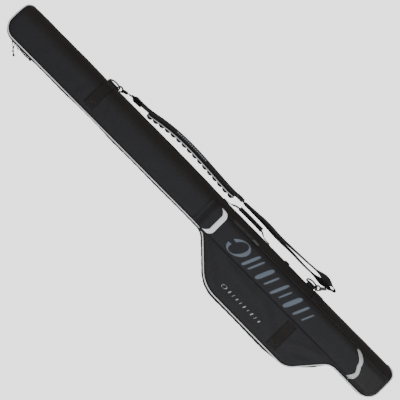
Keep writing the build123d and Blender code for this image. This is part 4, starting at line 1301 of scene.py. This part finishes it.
@dataclass
class ShoulderStrap:
    """Limp webbing on its edge beside the spine, its pad with a pale binding and rubber ribs."""

    height_z: float = 0.0245
    web_half: float = 0.0187
    web_thick: float = 0.0012
    pad_half: float = 0.0203
    pad_tip_x: float = 0.338
    pad_base_x: float = -0.070
    rib_count: int = 16
    rib_depth: float = 0.0085
    upper: tuple = (
        (0.350, -0.0868), (0.376, -0.0850), (0.3924, -0.0842), (0.3924, -0.0914), (0.378, -0.0910), (0.350, -0.0906),
        (0.318, -0.0922), (0.258, -0.104), (0.190, -0.111), (0.110, -0.111), (0.030, -0.106), (-0.040, -0.102),
        (-0.072, -0.1025), (-0.104, -0.1046),
    )
    lower: tuple = (
        (-0.104, -0.1047), (-0.150, -0.106), (-0.207, -0.110), (-0.269, -0.106), (-0.325, -0.109), (-0.400, -0.113),
        (-0.470, -0.118), (-0.5148, -0.1135), (-0.5148, -0.1014), (-0.478, -0.103), (-0.430, -0.098), (-0.380, -0.0965),
        (-0.325, -0.099), (-0.262, -0.097), (-0.205, -0.101), (-0.150, -0.101), (-0.104, -0.1003),
    )

    def line(self, knots: tuple, count: int, z: float) -> Grid:
        """The smooth middle line of a stretch of strap."""
        flat = smooth_line(np.array(knots), count)
        return np.concatenate([flat, np.full((count, 1), z)], 1)

    def webbing(self) -> None:
        """The two stretches of webbing; each leans by its own slow wave, and hangs straight at its ends."""
        path = self.line(self.upper, 360, self.height_z + 0.0012)
        lean = -0.37 * ease((0.391 - path[:, 0]) / 0.012) * ease((path[:, 0] + 0.118) / 0.03)
        band = carry(path, ring_profile(self.web_thick, self.web_half, 22, 7.0), (0, 0, 1), lean=lean)
        made = surface("strap_webbing_upper", band, of(WEBBING), round_cols=True, capped=True)
        place(made, "shoulder_strap", "webbing", "strap_upper")
        path = self.line(self.lower, 560, self.height_z - 0.0012)
        x, run = path[:, 0], np.linspace(0, 1, 560)
        inward = ease((run - 0.47) / 0.06)
        drift = -0.19 - 0.07 * np.sin((x + 0.33) * 15) + 0.04 * inward
        drift = drift - 0.46 * np.exp(-(((x + 0.466) / 0.026) ** 2))
        lean = drift * ease((x + 0.513) / 0.028) * ease((-0.098 - x) / 0.02)
        band = carry(path, ring_profile(self.web_thick, self.web_half, 22, 7.0), (0, 0, 1), lean=lean)
        made = surface("strap_webbing_lower", band, of(WEBBING), round_cols=True, capped=True)
        place(made, "shoulder_strap", "webbing", "strap_lower")
        bar = self.line(((0.372, -0.0924), (0.350, -0.0921)), 12, self.height_z - 0.001)
        for number, across in enumerate((-0.014, 0.0, 0.014), start=1):
            seam = bar + [0.0, -0.0004, across]
            stitches(f"strap_end_stitches_{number}", seam, (0.0, -1.0, 0.0), "shoulder_strap", GREY_THREAD, 0.0034)

    def pad(self) -> None:
        """The pad's three layers, each carried along the strap's own line at its own distance."""
        line = self.line(self.upper[6:], 400, self.height_z + 0.0020)
        inside = (line[:, 0] < self.pad_tip_x) & (line[:, 0] > self.pad_base_x)
        path = even(line[inside], 340)
        share = np.linspace(-1, 1, 340)
        taper = (1 - np.abs(share) ** 26 * 0.55)[:, None, None]
        run = np.cumsum(np.full(340, 0.0012))
        lean = -0.34 * np.ones(340)
        cover = ring_profile(0.0031, self.pad_half, 26, 3.0)[None] * taper
        cover = cover * (1 + 0.10 * np.abs(np.sin(run * 128))[:, None, None] * [1.0, 0.0]) + [0.0042, 0.0]
        made = surface(
            "pad_cover_cloth", carry(path, cover, (0, 0, 1), lean=lean), of(FOAM), round_cols=True, capped=True
        )
        place(made, "shoulder_strap", "grip_foam", "pad_cover")
        binding = ring_profile(0.0020, self.pad_half + 0.0004, 22, 4.0)[None] * taper + [0.0088, 0.0]
        made = surface(
            "pad_binding_strip", carry(path, binding, (0, 0, 1), lean=lean), of(PIPING), round_cols=True, capped=True
        )
        place(made, "shoulder_strap", "silver_piping", "pad_binding")
        self.ribs(path, lean)
        self.marks(path, float(lean[0]))
        edge = carry(
            path, np.array([[0.0012, self.pad_half - 0.003], [0.0012, 0.003 - self.pad_half]]), (0, 0, 1),
            lean=lean
        )
        for number in (0, 1):
            stitches(f"pad_stitches_{number + 1}", edge[:, number], (0.0, -1.0, 0.2), "shoulder_strap", THREAD, 0.0042)

    def marks(self, path: Grid, lean: float) -> None:
        """A generic row of pale printed bars on the webbing's outer face."""
        spots = even(path[(path[:, 0] > 0.078) & (path[:, 0] < 0.205)], 17)
        ahead = unit(np.gradient(spots, axis=0))
        side = unit(np.cross(ahead, [0.0, 0.0, 1.0]))
        lift = np.cross(side, ahead)
        side, lift = side * np.cos(lean) + lift * np.sin(lean), lift * np.cos(lean) - side * np.sin(lean)
        shape, squares = pebble(0.0044, 0.0006, 0.0160)
        print_spots = spots - side * (self.web_thick + 0.0001) + lift * 0.002
        made = scattered("strap_print", shape, squares, print_spots, np.stack([ahead, side, lift], 1), of(SMALL_PRINT))
        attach(made, "shoulder_strap")

    def ribs(self, path: Grid, lean: Grid) -> None:
        """Rubber ribs: the layer's depth is base + rib sqrt(1 - t^2) over each rib, t from -1 to 1."""
        fine = even(path, self.rib_count * 22)
        t = np.tile(np.linspace(-1, 1, 22), self.rib_count) * 1.06
        depth = 0.0012 + self.rib_depth * np.sqrt(np.clip(1 - t**2, 0, 1))
        ends = ease(np.minimum(np.arange(len(t)), np.arange(len(t))[::-1]) / 6.0)
        depth = 0.0012 + (depth - 0.0012) * ends
        loop = ring_profile(0.5, 1.0, 20, 3.2)
        shape = np.stack(
            [0.0102 + (loop[:, 0] + 0.5) * depth[:, None], np.broadcast_to(loop[:, 1], (len(t), 20)) * 0.0195],
            -1
        )
        made = surface(
            "pad_rubber_ribs", carry(fine, shape, (0, 0, 1), lean=float(lean[0])), of(RIBS), round_cols=True,
            capped=True
        )
        place(made, "shoulder_strap", "rib_rubber", "pad_ribs")

    def keeper(self) -> None:
        """The webbing folded over the adjuster's middle bar, with a keeper that holds the free tail."""
        path = np.stack(
            [np.linspace(-0.0765, -0.0955, 20), np.linspace(-0.1040, -0.1052, 20), np.full(20, self.height_z - 0.001)],
            -1
        )
        swell = np.sqrt(np.clip(1 - np.linspace(-0.98, 0.98, 20) ** 4, 0, 1))
        shape = ring_profile(0.0052, 0.0186, 24, 3.4)[None] * np.stack([swell, 0.94 + 0.06 * swell], -1)[:, None]
        made = surface(
            "strap_keeper", carry(path, shape, (0, 0, 1), lean=-0.2), of(WEBBING), round_cols=True, capped=True
        )
        place(made, "shoulder_strap", "webbing")
        for name, x in (("tip", -0.0745), ("base", -0.0975)):
            turn = np.linspace(0, 2 * np.pi, 60, endpoint=False)
            rim = np.sign(
                np.stack([np.cos(turn), np.sin(turn)], -1)
            ) * np.abs(np.stack([np.cos(turn), np.sin(turn)], -1)) ** 0.5
            loop = np.stack(
                [np.full(60, x), -0.1046 + rim[:, 0] * 0.0062, self.height_z - 0.001 + rim[:, 1] * 0.0200], -1
            )
            tube = carry(loop, ring_profile(0.0011, 0.0017, 8, 3.0), (1.0, 0.0, 0.0), closed=True)
            place(
                surface(f"adjuster_rim_{name}", tube, of(ACETAL), round_rows=True, round_cols=True),
                "shoulder_strap", "buckle_plastic"
            )

    def make(self) -> None:
        """Makes the strap's pieces in order."""
        self.webbing()
        self.pad()
        self.keeper()


@dataclass
class CarryHandle:
    """The padded grip on the spine, its two webbing arms and the patches that hold them."""

    y: float = -0.079
    z: float = 0.045
    arm_half: float = 0.0098

    def make(self) -> None:
        """Makes the grip, arms, patches and the small loop beside them."""
        share = np.linspace(-1, 1, 70)
        swell = (1 - np.abs(share) ** 12) ** 0.5 * 0.86 + 0.14
        path = np.stack(
            [-0.158 - share * 0.050, np.full(70, self.y) - 0.0008 * (1 - share**2), np.full(70, self.z)], -1
        )
        ripple = 1 + 0.018 * np.sin(share * 60)
        grip = ring_profile(0.0070, 0.0100, 28, 2.5)[None] * (swell * ripple)[:, None, None]
        made = surface("handle_sleeve", carry(path, grip, (0, 0, 1)), of(FOAM), round_cols=True, capped=True)
        place(made, "carry_handle", "grip_foam", "handle_grip")
        for name, at in (("tip", -0.90), ("base", 0.90)):
            spot = path[np.argmin(np.abs(share - at))]
            ends = np.stack([spot[0] + np.linspace(0.0035, -0.0035, 8), np.full(8, spot[1]), np.full(8, spot[2])], -1)
            cuff = carry(ends, ring_profile(0.0074, 0.0103, 24, 2.5), (0, 0, 1))
            place(
                surface(f"handle_cuff_{name}", cuff, of(WEBBING), round_cols=True, capped=True), "carry_handle",
                "webbing"
            )
        seam = path + [0.0, -0.0071, 0.0]
        stitches("handle_seam", seam[5:-5], (0.0, -1.0, 0.0), "carry_handle", THREAD, 0.0040)
        arms = (
            (
                "tip",
                ((-0.050, -0.0652), (-0.066, -0.0656), (-0.080, -0.0680), (-0.095, -0.0762), (-0.118, -0.0790)),
                (-0.072, -0.096)
            ),
            (
                "base",
                ((-0.256, -0.0652), (-0.240, -0.0656), (-0.226, -0.0680), (-0.214, -0.0766), (-0.196, -0.0790)),
                (-0.232, -0.212)
            ),
        )
        for name, knots, (start_x, end_x) in arms:
            flat = smooth_line(np.array(knots), 70)
            line = np.concatenate([flat, np.full((70, 1), self.z)], 1)
            tilt = -0.20 * ease((-0.0662 - flat[:, 1]) / 0.006)
            band = carry(
                line, ring_profile(0.0013, self.arm_half, 20, 7.0), (0, 0, 1),
                lean=tilt if name == "tip" else -tilt
            )
            made = surface(f"handle_arm_{name}", band, of(WEBBING), round_cols=True, capped=True)
            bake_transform(made)
            if name == "tip":
                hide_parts("handle_webbing")
            x = np.linspace(knots[0][0], knots[1][0], 16)
            for number, up in enumerate((-0.0078, 0.0, 0.0078), start=1):
                sewn = np.stack([x, np.full(16, -0.0668), np.full(16, self.z + up)], -1)
                stitches(f"handle_stitches_{name}_{number}", sewn, (0.0, -1.0, 0.0), "case", GREY_THREAD, 0.0034)
        for name, low, high in (("tip", -0.0777, -0.0457), ("base", -0.2603, -0.2283)):
            x, v = np.linspace(low, high, 24), np.linspace(-1, 1, 20)
            across, up = np.meshgrid(x, v, indexing="ij")
            z = self.z + up * 0.0118
            edge = 0.0016 - 0.0007 * np.abs(up) ** 8 - 0.0007 * np.abs((across - (low + high) / 2) / 0.016) ** 8
            skin_y = FORM.spine_skin(z)
            patch = solid(
                surface(f"handle_patch_cloth_{name}", np.stack([across, skin_y - edge, z], -1), of(WEBBING)),
                0.0013
            )
            place(patch, "case", "webbing", f"handle_patch_{name}")
        turn = np.linspace(-np.pi / 2, np.pi / 2, 30)
        up = 0.0420 + 0.0102 * np.sin(turn)
        bow = np.stack([FORM.spine_skin(up) + 0.0032 - 0.0082 * np.cos(turn) ** 0.8, up], -1)
        x = np.linspace(-0.3475, -0.3305, 9)
        loop = np.stack(
            [np.broadcast_to(x, (30, 9)), np.broadcast_to(bow[:, :1], (30, 9)), np.broadcast_to(bow[:, 1:], (30, 9))],
            -1
        )
        made = solid(surface("spine_loop_webbing", loop, of(WEBBING), flip=True), 0.0014)
        place(made, "case", "webbing", "spine_loop")


@dataclass
class RingTabs:
    """Webbing tabs that hold the two rings on the spine."""

    y: float = -0.070
    z: float = 0.036

    def make(self) -> None:
        """Each tab leaves the band, goes round the ring's bar at 4.1 mm and comes back to be sewn."""
        for name, x_middle in (("upper", 0.459), ("lower", -0.445)):
            turn = np.linspace(np.pi * 0.44, np.pi * 1.56, 34)
            bow = np.array([self.y, self.z]) + 0.0041 * np.stack([np.cos(turn), np.sin(turn)], -1)
            above = np.stack([np.linspace(-0.0630, -0.0690, 12), np.linspace(0.0410, 0.0402, 12)], -1)
            below = np.stack([np.linspace(-0.0690, -0.0610, 12), np.linspace(0.0318, 0.0300, 12)], -1)
            line = np.concatenate([above, bow, below])
            v = np.linspace(-1, 1, 15)
            x = x_middle + v * (0.0186 if name == "upper" else 0.0150)
            shape = (len(line), len(v))
            edge = 0.0004 * np.abs(v) ** 8
            points = np.stack([
                np.broadcast_to(x, shape), np.broadcast_to(line[:, :1], shape) + edge,
                np.broadcast_to(line[:, 1:], shape),
            ], -1)
            made = solid(surface(f"{name}_ring_webbing", points, of(WEBBING), flip=True), 0.0012, inwards=False)
            place(made, "case", "webbing", f"{name}_ring_tab")
            seam_x = np.linspace(x.min() + 0.003, x.max() - 0.003, 12)
            seam = np.stack([seam_x, np.full(12, -0.0652), np.full(12, 0.0419)], -1)
            stitches(f"{name}_tab_stitches", seam, (0.0, -0.3, 1.0), "case", GREY_THREAD, 0.0034)


@dataclass
class ZipPulls:
    """Moulded knobbly pulls of the main zip's two sliders."""

    wire: float = 0.0011

    def pull(self, name: str, body: str, pivot: tuple, turn: float, droop: float, length: float, knobs: int) -> None:
        """A wire loop through the slider's bail and a shaft whose radius swells at each knob.

        The shaft's radius is 1.3 mm + 1.1 mm |sin(n pi s)|^3, with a blunt end.
        """
        level = np.array([np.cos(turn), np.sin(turn), 0.0])
        along = level * np.cos(droop) - np.array([0.0, 0.0, np.sin(droop)])
        side = np.array([-level[1], level[0], 0.0])
        side = np.cross(along, np.cross(side, along))
        lift = np.cross(side, along)
        angle = np.linspace(0, 2 * np.pi, 40, endpoint=False)
        rim = np.stack([np.cos(angle), np.sin(angle)], -1)
        rim = np.sign(rim) * np.abs(rim) ** 0.7 * [0.0058, 0.0046] + [0.0052, 0.0]
        loop = np.asarray(pivot) + rim[:, :1] * along + rim[:, 1:] * np.cross(lift, along)
        tube = carry(loop, ring_profile(self.wire, self.wire, 8), tuple(lift), closed=True)
        ring = surface(f"{name}_pull_loop", tube, of(HARDWARE), round_rows=True, round_cols=True)
        place(ring, body, "zip_metal")
        s = np.linspace(0, 1, 120)
        bend = 0.0022 * np.sin(s * 5.2) * s
        path = np.asarray(pivot) + (
            0.0100 + s[:, None] * (length - 0.010)
        ) * along + bend[:, None] * np.cross(lift, along)
        radius = 0.0013 + 0.0011 * np.abs(np.sin(knobs * np.pi * s)) ** 3 + 0.0009 * ease((s - 0.82) / 0.06)
        radius = radius * np.sqrt(np.clip(1 - np.clip((s - 0.97) / 0.031, 0, 1) ** 2, 0.02, 1))
        radius = radius * (0.55 + 0.45 * ease(s / 0.03))
        shape = ring_profile(1.35, 0.85, 14, 2.6)[None] * radius[:, None, None]
        made = surface(f"{name}_pull_grip", carry(path, shape, tuple(lift)), of(PULLS), round_cols=True, capped=True)
        place(made, body, "pull_rubber", f"zip_pull_{name}")

    def make(self) -> None:
        """Makes both pulls."""
        self.pull("tip", "tip_pull", (0.775, 0.0623, 0.060), np.radians(129.0), np.radians(15.0), 0.0440, 3)
        self.pull("base", "main_pull", (0.756, 0.0623, 0.060), np.radians(176.0), np.radians(6.0), 0.0600, 8)


@dataclass
class Inside:
    """End cushions and the straps that hold the rods."""

    def cushion(self, name: str, x: float, half: tuple, y: float, z: float) -> None:
        """A crowned closed pad: its depth is t sqrt(1 - s^3.2) at the share s of the way to its rim."""
        turn = np.linspace(0, 2 * np.pi, 72, endpoint=False)
        rim = np.stack([np.cos(turn), np.sin(turn)], -1)
        rim = np.sign(rim) * np.abs(rim) ** 0.42
        pull = 1 - 0.035 * np.cos(2 * turn) ** 2
        rim = rim * pull[:, None] * [half[1], half[2]]
        share = np.concatenate([np.linspace(0.03, 1, 18) ** 0.8, (np.linspace(1, 0.03, 18) ** 0.8)[1:]])
        facing = np.concatenate([np.ones(18), -np.ones(17)])
        depth = half[0] * np.sqrt(np.clip(1 - share**3.2, 0, 1)) * facing
        grid = np.concatenate([
            (x + depth)[:, None, None] + np.zeros((1, 72, 1)), rim[None] * share[:, None, None] + [y, z],
        ], -1)
        made = surface(name, grid, of(LINING), round_cols=True, capped=True)
        place(made, "case", "lining", name.replace("cushion", "pad"))
        edge = np.concatenate([np.full((72, 1), x), rim * 1.004 + [y, z]], 1)
        cord = carry(edge, ring_profile(0.0011, 0.0011, 8), (1.0, 0.0, 0.0), closed=True)
        place(surface(f"{name}_welt", cord, of(TAPE), round_rows=True, round_cols=True), "case", "lining")

    def rod_strap(self, number: int, x: float, high_y: float) -> None:
        """Webbing from wall to wall with a slight sag, closed by an overlap in the middle."""
        y = np.linspace(-0.0536, high_y, 60)
        v = np.linspace(-1, 1, 11)
        middle = (y[0] + y[-1]) / 2
        sag = 0.0007 * (1 - ((y - middle) / (y[-1] - middle)) ** 2)
        shape = (len(y), len(v))
        z = np.broadcast_to((0.0418 - sag)[:, None], shape) - 0.0004 * np.abs(v) ** 8
        points = np.stack([x + np.broadcast_to(v * 0.0188, shape), np.broadcast_to(y[:, None], shape), z], -1)
        made = solid(surface(f"rod_strap_webbing_{number}", points, of(WEBBING), flip=True), 0.0016)
        place(made, "case", "webbing", f"rod_strap_{number}")
        lap = points[18:44] + [0.0, 0.0, 0.0012]
        place(solid(surface(f"rod_strap_lap_{number}", lap, of(VELOUR), flip=True), 0.0011), "case", "hook_and_loop")

    def make(self) -> None:
        """Makes both cushions and the three straps."""
        self.cushion("base_cushion", -0.8080, (0.0057, 0.0500, 0.0225), 0.002, 0.0320)
        self.cushion("tip_cushion", 0.8080, (0.0057, 0.0470, 0.0225), -0.005, 0.0320)
        for number, (x, high_y) in enumerate(((0.560, 0.0450), (0.060, 0.0450), (-0.700, 0.0545)), start=1):
            self.rod_strap(number, x, high_y)


class Metalwork:
    """The frame's own hard pieces, which keep their shape and get finishes and softened edges."""

    dressed: dict = {
        "zip_slider_tip": (HARDWARE, "zip_metal"), "zip_slider_base": (HARDWARE, "zip_metal"),
        "pocket_slider": (HARDWARE, "zip_metal"), "pocket_pull": (HARDWARE, "zip_metal"),
        "upper_ring": (HARDWARE, "hardware"), "lower_ring": (HARDWARE, "hardware"),
        "upper_hook": (HARDWARE, "hardware"), "lower_hook": (HARDWARE, "hardware"),
        "upper_swivel_loop": (HARDWARE, "hardware"), "lower_swivel_loop": (HARDWARE, "hardware"),
        "upper_hook_gate": (STEEL, "gate_steel"), "lower_hook_gate": (STEEL, "gate_steel"),
        "strap_adjuster": (ACETAL, "buckle_plastic"),
    }
    edge: float = 0.00045

    def make(self) -> None:
        """Gives each hard piece its material and a small bevel."""
        for name, (finish, slot_name) in self.dressed.items():
            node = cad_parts[name]
            node.data.materials.clear()
            node.data.materials.append(of(finish))
            merge = node.modifiers.new("merge", "WELD")
            merge.merge_threshold = 0.00001
            soft = node.modifiers.new("soft_edges", "BEVEL")
            soft.width, soft.segments, soft.limit_method = self.edge, 2, "ANGLE"
            soft.angle_limit = np.radians(38.0)


# ------------------------------------------------------------------ room, light and camera


def studio() -> None:
    """A floor whose glow only the camera sees, soft light from all round and a camera straight above."""
    floor_paint = bpy.data.materials.new("pale_floor")
    floor_paint.use_nodes = True
    nodes, links = floor_paint.node_tree.nodes, floor_paint.node_tree.links
    shader = nodes["Principled BSDF"]
    shader.inputs["Base Color"].default_value = (0.45, 0.45, 0.45, 1.0)
    shader.inputs["Roughness"].default_value = 0.9
    glow, seen, mix = (nodes.new(kind) for kind in ("ShaderNodeEmission", "ShaderNodeLightPath", "ShaderNodeMixShader"))
    glow.inputs["Strength"].default_value = FLOOR_GLOW
    links.new(seen.outputs["Is Camera Ray"], mix.inputs[0])
    links.new(shader.outputs["BSDF"], mix.inputs[1])
    links.new(glow.outputs["Emission"], mix.inputs[2])
    links.new(mix.outputs["Shader"], nodes["Material Output"].inputs["Surface"])
    points = np.stack(np.meshgrid(np.linspace(-6, 6, 5), np.linspace(-6, 6, 5), indexing="ij"), -1)
    points = np.concatenate([points, np.full((5, 5, 1), -0.0005)], -1)
    surface("floor", points, floor_paint)

    world = bpy.context.scene.world or bpy.data.worlds.new("soft_room")
    bpy.context.scene.world = world
    world.use_nodes = True
    sky = world.node_tree.nodes["Background"]
    sky.inputs["Color"].default_value = (1.0, 1.0, 1.0, 1.0)
    sky.inputs["Strength"].default_value = SKY_STRENGTH

    for name, spot, size, power in (
        ("key_light", (-0.6, 1.5, 2.2), 1.6, 34.0),
        ("fill_light", (1.2, -0.9, 2.4), 2.0, 14.0),
        ("end_light", (-1.7, 0.2, 1.8), 1.2, 12.0),
    ):
        lamp = bpy.data.lights.new(name, "AREA")
        lamp.size, lamp.energy = size, power
        holder = bpy.data.objects.new(name, lamp)
        bpy.context.scene.collection.objects.link(holder)
        aim = Vector((0.0, 0.0, 0.05)) - Vector(spot)
        holder.matrix_world = Matrix.LocRotScale(Vector(spot), aim.to_track_quat("-Z", "Y"), None)

    lens = bpy.data.cameras.new("front_camera")
    lens.lens, lens.sensor_width = 85.0, 36.0
    lens.clip_end = 20.0
    camera = bpy.data.objects.new("front_camera", lens)
    bpy.context.scene.collection.objects.link(camera)
    right, up = Vector((-0.7034, -0.7108, 0.0)), Vector((0.7108, -0.7034, 0.0))
    turn = Matrix((right, up, right.cross(up))).transposed().to_4x4()
    camera.matrix_world = Matrix.Translation((0.0007, -0.0070, CAMERA_HEIGHT)) @ turn
    bpy.context.scene.camera = camera


def main() -> None:
    """Makes every piece in order, then the room."""
    logging.basicConfig(level=logging.INFO, format="%(name)s %(message)s")
    makers = (
        Half("case", "back", False), Half("lid", "front", True), SpineFold(), Pocket(), Motifs(Pocket()), Bands(),
        ShoulderStrap(), CarryHandle(), RingTabs(), ZipPulls(), Inside(), Metalwork(),
    )
    for maker in makers:
        maker.make()
        LOG.info("made %s", type(maker).__name__)
    studio()


if __name__ == "__main__":
    main()
